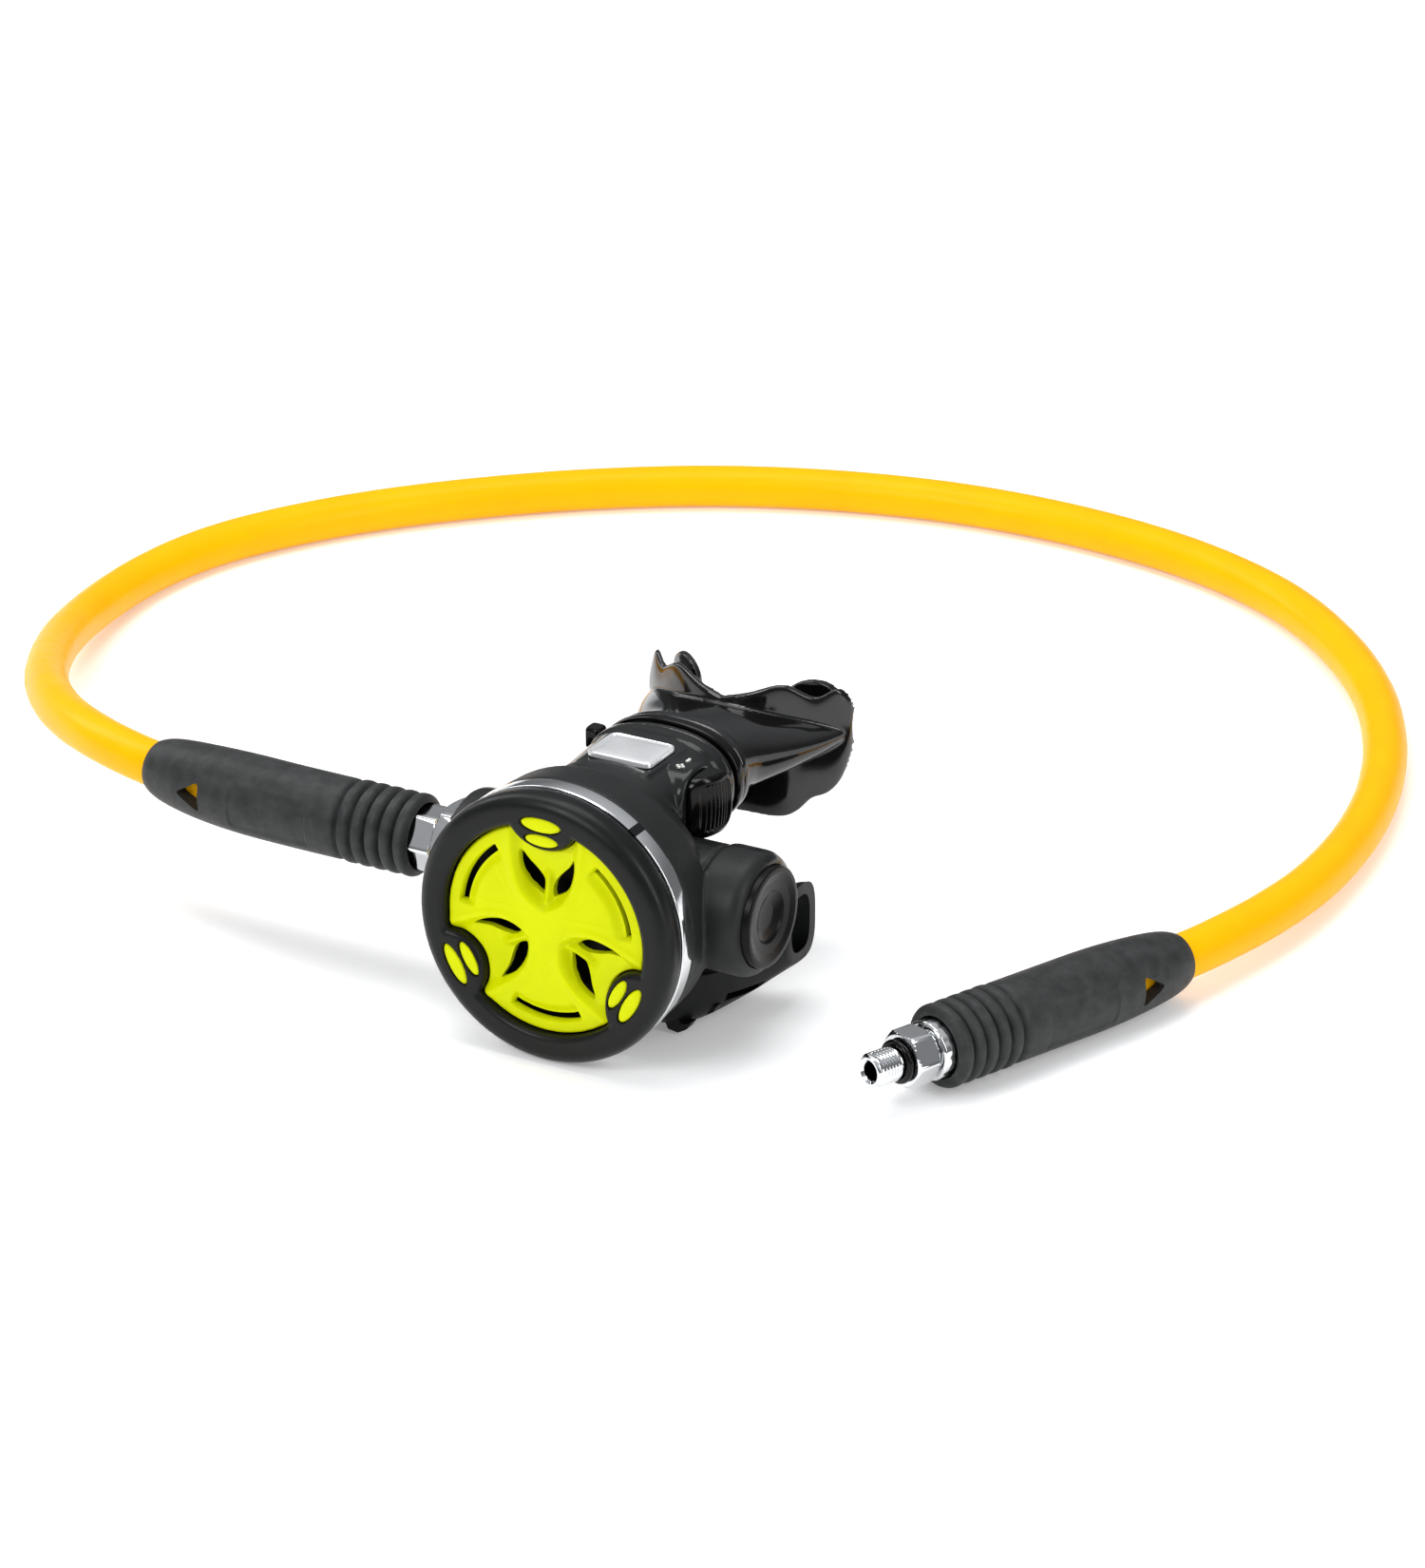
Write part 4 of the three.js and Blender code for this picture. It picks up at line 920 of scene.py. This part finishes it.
def cover_height(x, z):
    """The purge cover's front: domed petals, a smooth hub, valleys under the bosses, slot recesses."""
    radius = np.hypot(x, z)
    y = COVER_MIDDLE_Y + COVER_DOME * (radius / RING_INNER_R) ** 2
    for degrees in BOSS_ANGLES:
        turn = math.radians(degrees)
        v = x * math.cos(turn) + z * math.sin(turn)
        u = -x * math.sin(turn) + z * math.cos(turn)
        width = valley_width(v)
        slope = (valley_width(v + 0.1) - valley_width(v - 0.1)) / 0.2
        inside = (width - abs(u)) / np.sqrt(1 + np.minimum(slope, 3) ** 2)
        inside = np.where(v > VALLEY_FLOOR_V[0], inside, v - VALLEY_FLOOR_V[0])
        depth = np.interp(v, VALLEY_FLOOR_V, VALLEY_DEPTH)
        y = y + depth * smoothstep(-0.3, 2.7, inside) * (v > 0)
        y = y - 0.4 * np.exp(-(((inside + 0.9) / 1.3) ** 2)) * smoothstep(3, 9, v)
        stem = np.exp(-((u / 1.15) ** 2)) * smoothstep(5.5, 8, v) * (1 - smoothstep(13.5, 17, v))
        y = y - 1.6 * stem
    slot_outer_r = SLOT_R + SLOT_HALF_WIDTH
    for degrees in PETAL_ANGLES:
        off = np.degrees((np.arctan2(z, x) - math.radians(degrees) + np.pi) % (2 * np.pi) - np.pi)
        window = 1 - smoothstep(SLOT_SPREAD - 1, SLOT_SPREAD + 2, abs(off))
        recess = smoothstep(20.6, 23.9, radius) * (1 - smoothstep(slot_outer_r, slot_outer_r + 0.4, radius))
        y = y + 1.5 * recess * window
    return y


CUTTER_REACH = 8  # how far the cover's cutters go in front of the ring's widest plane and behind it


def arc_slot(name, degrees):
    """A cutter for the arc-shaped slot in one petal."""
    rows = []
    for turn in np.linspace(degrees - SLOT_SPREAD, degrees + SLOT_SPREAD, 40):
        ox, oz = polar(SLOT_R + SLOT_HALF_WIDTH, turn)
        ix, iz = polar(SLOT_R - SLOT_HALF_WIDTH, turn)
        rows.append(np.array([(ox, -CUTTER_REACH, oz), (ix, -CUTTER_REACH, iz), (ix, CUTTER_REACH, iz),
                              (ox, CUTTER_REACH, oz)]))
    return skin(name, capped(rows))


def crescent_cutter(name, degrees, side):
    """A cutter for the crescent-shaped opening on one side of a valley."""
    turn = math.radians(degrees)
    outline = catmull([(side * u, v) for u, v in CRESCENT], 8, closed=True)
    x = outline[:, 1] * math.cos(turn) - outline[:, 0] * math.sin(turn)
    z = outline[:, 1] * math.sin(turn) + outline[:, 0] * math.cos(turn)
    return prism(name, np.stack([x, z], 1), -CUTTER_REACH, CUTTER_REACH)


def purge_cover():
    rim = EDGE - COVER_CLEARANCE
    rows = [np.array([(0, float(cover_height(np.zeros(1), np.zeros(1))[0]), 0)])]
    for t in np.linspace(0, 1, 116)[1:]:
        radius = rim * t
        edge = np.clip(RIM_ROUND - (rim - radius), 0, RIM_ROUND)
        rows.append(face_row(radius, cover_height(*on_face(radius)) + quarter_round(edge, RIM_ROUND)))
    for t in (1, 0.97, 0.9, 0.8, 0.7, 0.6, 0.5, 0.4, 0.3, 0.2, 0.1):
        radius = rim * t
        rows.append(face_row(radius, cover_height(*on_face(radius)) + COVER_THICK))
    rows.append(rows[0] + np.array([(0, COVER_THICK, 0)]))
    cover = skin("press_cover", rows)
    cutters = [arc_slot(f"slot_{degrees}", degrees) for degrees in PETAL_ANGLES]
    cutters += [crescent_cutter(f"crescent_{degrees}_{side}", degrees, side)
                for degrees in BOSS_ANGLES for side in (-1, 1)]
    carve(cover, *cutters)
    settle(cover, "lime", "lime", "purge", "purge_cover", crease=42)


def trim_ring():
    """The bright band, with a notch that the case's black key fills."""
    profile = rounded([(TRIM_INNER_R, TRIM_FRONT_Y, 0.2), (TRIM_R, TRIM_FRONT_Y, 0.5),
                       (TRIM_R, TRIM_BACK_Y, 0.5), (TRIM_INNER_R, TRIM_BACK_Y, 0.2)], closed=True)
    band = lathe("bright_band", profile, "y", segments=360)
    at_notch = REGULATOR @ Matrix.Rotation(math.radians(NOTCH_ANGLE), 4, "Y")
    overrun = 1.5
    notch = block("notch", (NOTCH_FLOOR_R, TRIM_FRONT_Y - overrun, -NOTCH_HALF),
                  (TRIM_R + overrun, TRIM_BACK_Y + overrun, NOTCH_HALF), at_notch)
    carve(band, notch)
    settle(band, "chrome", "chrome", "case", "trim_ring")
    gap = 0.1
    key = block("band_key", (NOTCH_FLOOR_R + gap, TRIM_FRONT_Y + gap, gap - NOTCH_HALF),
                (TRIM_R - 0.3, TRIM_BACK_Y - gap, NOTCH_HALF - gap), at_notch)
    dress(key, "ring_rubber")
    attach(key, "case")


cover_ring()
for boss, boss_degrees in enumerate(BOSS_ANGLES):
    for place_in_boss, sizes in enumerate(INLAYS):
        number = boss * len(INLAYS) + place_in_boss + 1
        inlay(f"oval_{number}", f"cover_inlay_{number}", boss_degrees, *sizes)
purge_cover()
trim_ring()

# ---- Case ----

BARREL = (0, BARREL_Y, 0)
LEVER = (0, LEVER_Y, LEVER_Z)
SEAT = (0, SEAT_Y, 0)
FAR = 60  # past everything on the case


def disc(name, radius, start, end, axis, centre, segments=128):
    return lathe(name, [(0, start), (radius, start), (radius, end), (0, end)], axis, centre, segments)


def case_hollows():
    """Cutters for the bowl, the air passage, the barrel's bore, the cap's seat and the valve seat."""
    bowl = rounded([(0, 8), (34, 8), (34, 12.3), (31, 12.3), (31, 22), (30, 27), (26.5, 33), (21, 38.5),
                    (12, 43), (0, 44.5)])
    bowl_cutter = lathe("bowl", bowl, "y")
    carve(bowl_cutter, block("under_bowl", (-FAR, 23, -FAR), (FAR, FAR, SEAT_Z + 2.5)))
    return [
        bowl_cutter,
        oval_loft("passage", [(28, 16, 10.3), (TUBE_END_Y, *TUBE_BORE_HALVES),
                              (SPIGOT_END_Y + 1, *TUBE_BORE_HALVES)]),
        disc("barrel_bore", BARREL_BORE_R, -FAR, FAR, "x", BARREL),
        disc("cap_bore", 12, 34.5, FAR, "x", BARREL),
        disc("cap_seat", CAP_R + 0.25, CAP_SEAT_X, FAR, "x", BARREL),
        disc("shaft_bore", SHAFT_R, 4, 30, "x", LEVER, 48),
        disc("lever_room", 9.4, LEVER_BOSS_X, LEVER_BOSS_X + 8, "x", LEVER),
        disc("seat_bore", 11, SEAT_Z - 1, SEAT_Z + 5, "z", SEAT),
        block("seam", (20, 12, -11.2), (32, 22, -10.8)),
    ]


def case_moulding():
    """The case: a bowl, the barrel's housing, the mouthpiece tube and the bosses on it, in one skin."""
    dome = rounded([
        (0, 9.9), (37.2, 9.9, 0.5), (37.2, 12, 2), (36.3, 23, 1.0), (33.6, 23.7, 0.4), (33.2, 27, 3),
        (29.5, 34, 4), (24, 40, 4), (15, 45, 4), (0, 47)])
    neck_r = HOUSING_R - 0.8
    housing = rounded([(0, HOUSING_LEFT_X), (HOUSING_R, HOUSING_LEFT_X, 4), (HOUSING_R, 0), (neck_r, 10),
                       (neck_r, 31.4), (neck_r - 0.7, 31.8), (neck_r - 0.7, 32.3), (HOUSING_R, 33.6, 2),
                       (HOUSING_R, HOUSING_RIGHT_X, 4.5), (0, HOUSING_RIGHT_X)])
    tube = catmull([(24, 18, 13.2), (40, 18.8, 13.4), (55.6, 20.0, 13.7)], 8).tolist()
    lip = [(55.8, 20.2, 13.8), (56.4, 20.9, 14.1), (57, 21, 14.2), (TUBE_END_Y - 0.5, 21, 14.2),
           (TUBE_END_Y, 20.5, 13.8)]
    spigot = [(TUBE_END_Y - 1, *SPIGOT_HALVES), (SPIGOT_END_Y, *SPIGOT_HALVES)]
    boss = rounded([(0, 6), (10, 6), (10, LEVER_BOSS_X, 1.2), (0, LEVER_BOSS_X)])
    dome_part = lathe("dome", dome, "y", segments=180)
    housing_part = lathe("housing", housing, "x", BARREL)
    under_seat = (-FAR, 24.5, -FAR), (FAR, FAR, SEAT_Z)
    parts = [
        carve(dome_part, block("under_dome", *under_seat)),
        carve(housing_part, block("under_housing", *under_seat)),
        oval_loft("tube", tube + lip, 2.6),
        oval_loft("spigot", spigot),
        block("badge_seat", (-10.9, 33, 20), (10.9, 53.5, 32.4)),
        lathe("lever_boss", boss, "x", LEVER),
        disc("seat", 15.5, SEAT_Z, SEAT_Z + 4, "z", SEAT),
    ]
    body = fuse("moulded_case", parts, 0.5, 5)
    carve(body, *case_hollows())
    settle(body, "case_plastic", "case_plastic", "case", "case_shell", crease=38)


def end_cap():
    """A dished cap whose neck goes into the housing."""
    seat_x = CAP_SEAT_X + 0.4
    profile = rounded([(0, 36.1), (11, 36.1), (11, seat_x), (CAP_R, seat_x), (CAP_R, 48.3, 0.7),
                       (CAP_R - 1.6, 48.35, 0.5), (10, 47.8, 3), (DIMPLE_R + 0.3, 47.5, 0.25),
                       (DIMPLE_R - 0.4, 46.9, 0.5), (4, 46.1, 4), (0, 45.9)])
    settle(lathe("round_cap", profile, "x", BARREL, 180), "cap_black", "gloss_black", "case", "end_cap")


def rounded_rectangle(centre, width, height, radius, steps):
    across, up = width / 2, height / 2
    corners = [(centre[0] + i * across, centre[1] + j * up, radius)
               for i, j in ((-1, -1), (1, -1), (1, 1), (-1, 1))]
    return np.array(rounded(corners, steps, closed=True))


def upright_loft(name, outline, profile, poles=()):
    """A solid along Z from an outline that shrinks by the profile's shares at its heights. The poles are
    the heights of its middles, where they stand off the first and the last row."""
    centre = outline.mean(0)
    rows = []
    for share, z in profile:
        flat = centre + (outline - centre) * share
        rows.append(np.column_stack([flat, np.full(len(flat), z)]))
    if not poles:
        return skin(name, capped(rows))
    first, last = (np.array([(*centre, z)]) for z in poles)
    return skin(name, [first, *rows, last])


def evenly(outline, count):
    """A closed outline with its points spread evenly along it."""
    loop = np.concatenate([outline, outline[:1]])
    along = np.concatenate([[0], np.cumsum(np.linalg.norm(np.diff(loop, axis=0), axis=1))])
    at = np.arange(count) * along[-1] / count
    return np.column_stack([np.interp(at, along, loop[:, 0]), np.interp(at, along, loop[:, 1])])


def lever_pad():
    """A glossy pad with upright ridges on the face that the thumb turns."""
    outline = evenly(rounded_rectangle((0, 0), 14, 17.4, 4.9, 14), 240)
    inner_x, outer_x, soft = 19.7, 26.0, 1.4
    ridge_pitch, ridge_height, groove_depth = 1.25, 0.35, 0.3
    rim_share = 0.2

    def row(x, share, ridged=False):
        y, z = (outline * share).T
        outward = (x - inner_x) / (outer_x - inner_x)
        depth = (0.055 * np.clip(2.5 - y, 0, None) ** 2 + 0.012 * z**2) * outward
        if ridged:
            window = (1 - smoothstep(4.9, 5.5, abs(y))) * (1 - smoothstep(6.1, 6.9, abs(z)))
            wave = 0.5 - 0.5 * np.cos(2 * np.pi * y / ridge_pitch)
            depth += (groove_depth + ridge_height * wave) * window
        return np.column_stack([x - depth, LEVER_Y + y, LEVER_Z + z])

    rows = [row(inner_x, 0.9), row(inner_x + 0.5, 1.0)]
    for turn in np.linspace(0, math.pi / 2, 8):
        rows.append(row(outer_x - soft + soft * math.sin(turn), 1 - rim_share * (1 - math.cos(turn))))
    rows += [row(outer_x, share, True) for share in np.linspace(1 - rim_share, 0.02, 40)]
    pad = skin("thumb_lever", capped(rows))
    carve(pad, disc("socket", SHAFT_R, 19, 24, "x", LEVER, 48))
    settle(pad, "gloss_black", "gloss_black", "venturi", "venturi_lever", crease=45)


def lever_marks():
    """A plus and a minus, the two ways the lever turns."""
    bottom = LEVER_Z + 9.75
    top = bottom + 0.45
    bars = (((14.6, 42.2), (15.2, 44.6)), ((13.7, 43.1), (16.1, 43.7)), ((14.6, 46.6), (15.2, 48.6)))
    for count, (low, high) in enumerate(bars):
        mark = block(f"lever_mark_{count}", (*low, bottom), (*high, top))
        dress(mark, "white_plastic")
        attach(mark, "case")


def badge():
    """A blank silver label with a raised rim and a slightly domed middle."""
    outline = rounded_rectangle((0, 43.5), 19.4, 15, 2.5, 10)
    profile = ((0.98, 32.6), (1, 32.7), (1, 33.6), (0.985, 33.85), (0.96, 33.9), (0.93, 33.75),
               (0.915, 33.5), (0.9, 33.5), (0.88, 33.65), (0.8, 33.8), (0.6, 33.88), (0.3, 33.9))
    label = upright_loft("blank_badge", outline, profile, poles=(32.6, 34.0))
    settle(label, "badge_silver", "badge_silver", "case", "top_badge")


def barrel_nut():
    front_x = HOUSING_LEFT_X - 0.3
    nut = hex_nut("clamp_hexagon", BARREL_HEX, front_x - 5.5, front_x, 9.8, BARREL)
    settle(nut, "chrome", "chrome", "case", "barrel_nut")


case_moulding()
end_cap()
lever_pad()
lever_marks()
badge()
barrel_nut()

# ---- Exhaust tee ----

# Half of the tee: x, front, back, low and high edge of its section in the YZ plane.
TEE_STATIONS = [(0, 25.2, 57, -37.8, -21.3), (14, 25.2, 58, -37.8, -21.3), (24, 28, 62, -36.6, -19),
                (32, 39, 66, -32.5, -11), (37, 48, 69, -29, -5), (41, 54, 70, -26, -4)]


def tee_loft(name, inset, overrun):
    """The tee's body, or with an inset and an overrun past both wings the cutter for its inside."""
    half = catmull(TEE_STATIONS, 8)
    half[-1, 0] += overrun
    whole = np.concatenate([(half * (-1, 1, 1, 1, 1))[:0:-1], half])
    rows = []
    for x, front, back, low, high in whole:
        section = oval((back - front) / 2 - inset, (high - low) / 2 - inset, 3, 72)
        y = (front + back) / 2 + section[:, 0]
        z = (low + high) / 2 + section[:, 1]
        rows.append(np.column_stack([np.full(len(section), x), y, z]))
    return skin(name, capped(rows))


TEE_WALL = 3.1
HOOKS = ((23.5, 29.4, -35.2), (27.2, 37.2, -32.6))  # where the fins of one side stand


def hook(side, x, y, z):
    """One backward-curled fin under the front edge of the tee."""
    outline = [(x - 6, z + 3), (x - 4, z - 1.6), (x - 1, z - 2.1), (x + 1.6, z - 0.6), (x + 3.2, z + 1.9),
               (x + 1.4, z + 0.9), (x - 0.6, z + 1.0), (x - 1.4, z + 3)]
    outline = rounded([(side * a, b, 0.4) for a, b in outline], 4, closed=True)
    return prism("hook", outline, y - 1.3, y + 1.9)


def exhaust_tee():
    """The tee, hollow from wing to wing, with a slot in each side and room for the case above it."""
    tee = tee_loft("deflector", 0, 0)
    carve(
        tee,
        tee_loft("tee_inside", TEE_WALL, 3),
        block("side_slot_right", (26, 39, -30.8), (40, 51, -28.4)),
        block("side_slot_left", (-40, 39, -30.8), (-26, 51, -28.4)),
        disc("housing_room", HOUSING_R + 0.5, -FAR, FAR, "x", BARREL),
        disc("valve_room", 14.2, SEAT_Z - 6, SEAT_Z + 1, "z", SEAT),
        block("case_room", (-33, 24, SEAT_Z - 0.3), (33, 46, 0)),
    )
    combine(tee, [hook(side, x, y, z) for side in (-1, 1) for x, y, z in HOOKS], "UNION")
    settle(tee, "tee_rubber", "rubber_black", "case", "exhaust_tee", crease=40)


exhaust_tee()

# ---- Mouthpiece ----

# Half of the flange's edges: x and height.
FLANGE_TOP = [(0, 30.2), (7, 32.2), (15.9, 34.9), (23, 31), (27.7, 32.9), (30.4, 29), (FLANGE_HALF, 24.5)]
FLANGE_BOTTOM = [(0, -1.8), (8, -2.4), (15.8, -3.4), (19.6, -1.8), (22.6, 1.6), (26, 2.8), (28.6, 6.5),
                 (30.6, 14), (FLANGE_HALF, 20)]


def arch_y(x):
    """Y of the arch that the flange and the bite follow."""
    return ARCH_Y + ARCH_DEPTH * (x / FLANGE_HALF) ** 2


def flange():
    """The thin lip shield that follows the arch of the teeth, with a wavy upper edge."""
    top = catmull(FLANGE_TOP, 10)
    bottom = catmull(FLANGE_BOTTOM, 10)
    steps, rows = 72, 28
    sections = []
    for i in range(steps + 1):
        x = 0.999 * FLANGE_HALF * math.sin(math.pi * (i / steps - 0.5))
        low = np.interp(abs(x), *bottom.T)
        high = np.interp(abs(x), *top.T)
        share = np.linspace(0, 1, rows)
        z = low + (high - low) * share
        y = arch_y(x) + 1.6 * abs(2 * share - 1) ** 3
        front = np.column_stack([np.full(rows, x), y, z])
        back = front + (0, FLANGE_THICK, 0)
        sections.append(np.concatenate([front, back[::-1]]))
    return skin("lip_shield", capped(sections))


def arch_bar(name, start, end, near, far, low, high):
    """A bar that follows the arch between two X values, and between two offsets behind it."""
    corners = ((near, low), (far, low), (far, high), (near, high))
    sections = [np.array([(x, arch_y(x) + offset, z) for offset, z in corners])
                for x in np.linspace(start, end, 16)]
    return skin(name, capped(sections))


def bite_stop(side, start, end):
    """The upright plate behind the teeth, with a round lobe at its top and bottom."""
    front, back = 80, 125  # in front of and behind the whole arch
    strip = arch_bar("bite_stop", start, end, 9, 11.6, BITE_Z - 20, BITE_Z + 20)
    outline = block("outline", (start, front, BITE_Z - 10), (end, back, BITE_Z + 10))
    lobes = [disc("lobe", LOBE_R, front, back, "y", (side * LOBE_X, 0, z), 64)
             for z in (BITE_Z - 9.5, BITE_Z + 10)]
    return combine(strip, [combine(outline, lobes, "UNION")], "INTERSECT")


def mouthpiece():
    """The silicone trunk, lip shield and bite in one skin, hollow through the trunk."""
    collar = [(TUBE_END_Y + 0.3, 20.2, 13.4), (TUBE_END_Y + 0.6, 20.6, 13.8), (62.9, 20.6, 13.8),
              (63.4, 20.2, 13.4), (63.6, 19.6, 12.8), (67.2, 19.6, 12.8), (67.4, 20.2, 13.4),
              (67.9, 20.8, 14.0), (69.0, 21.0, 14.2), (70.4, 20.9, 14.1), (71.3, 20.2, 13.4),
              (72, 18.9, 12.1)]
    neck = catmull([(73, 18.6, 11.8), (76, 18.9, 11.5), (80, 20, 11), (90, 25, 9.4), (100, 28.6, 7.4),
                    (112, 31, 5)], 8).tolist()
    trunk = oval_loft("trunk", collar + neck, 2.3)
    behind = arch_bar("behind_arch", -40, 40, 1.2, 60, -30, 70)
    carve(trunk, behind)
    parts = [trunk, flange()]
    for side in (-1, 1):
        start, end = sorted((side * BITE_FROM_X, side * BITE_TO_X))
        low, high = BITE_Z - BITE_HALF_THICK, BITE_Z + BITE_HALF_THICK
        parts.append(arch_bar("bite", start, end, 1, BITE_DEPTH, low, high))
        parts.append(bite_stop(side, start, end))
    body = fuse("silicone_mouthpiece", parts, 0.34, 10)
    carve(
        body,
        oval_loft("socket", [(TUBE_END_Y - 1, 18, 11.2), (SPIGOT_END_Y + 0.3, 18, 11.2)]),
        oval_loft("throat", [(SPIGOT_END_Y, *TUBE_BORE_HALVES), (84, 13, 6.4), (120, 12, 5.6)]),
    )
    settle(body, "silicone_black", "silicone_black", "case", "mouthpiece", crease=60)


def mouthpiece_tie():
    """The tie's strap round the trunk and its head at the left."""
    half_width, half_height, thick = 21.4, 14.6, 1.5
    falls = ((63.8, 0.4), (64.1, 0.1), (64.5, 0), (66.3, 0), (66.7, 0.1), (67.0, 0.4))
    outer = [(y, half_width - fall, half_height - fall) for y, fall in falls]
    hole = [(y, half_width - thick, half_height - thick) for y in (62, 69)]
    band = oval_loft("tie_strap", outer, 2.3)
    carve(band, oval_loft("strap_hole", hole, 2.3))
    outline = rounded_rectangle((-23.3, 65.4), 4.6, 5, 1.4, 8)
    head = upright_loft("tie_head", outline, ((0.85, 21), (1, 21.6), (1, 26.2), (0.93, 26.7), (0.8, 27)))
    combine(band, [head], "UNION")
    settle(band, "gloss_black", "gloss_black", "case", "mouthpiece_tie")


mouthpiece()
mouthpiece_tie()

# ---- The valve train and other CAD pieces that stay ----

SLOTS = {entry["node"]: entry["material_slot"] for entry in frame["record"]["subparts"]}
LOOK_OF_SLOT = {"rubber_black": "tee_rubber"}  # the other slots share their name with their look

for part_name, part in frame["nodes"].items():
    if part.hide_render:
        continue
    slot = SLOTS[part_name]
    part.data.materials.clear()
    part.data.materials.append(LOOKS[LOOK_OF_SLOT.get(slot, slot)])

boxes = {"cad": CAD_BOX, "visual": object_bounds()}
{key: [[float(v) for v in corner] for corner in box] for key, box in boxes.items()}
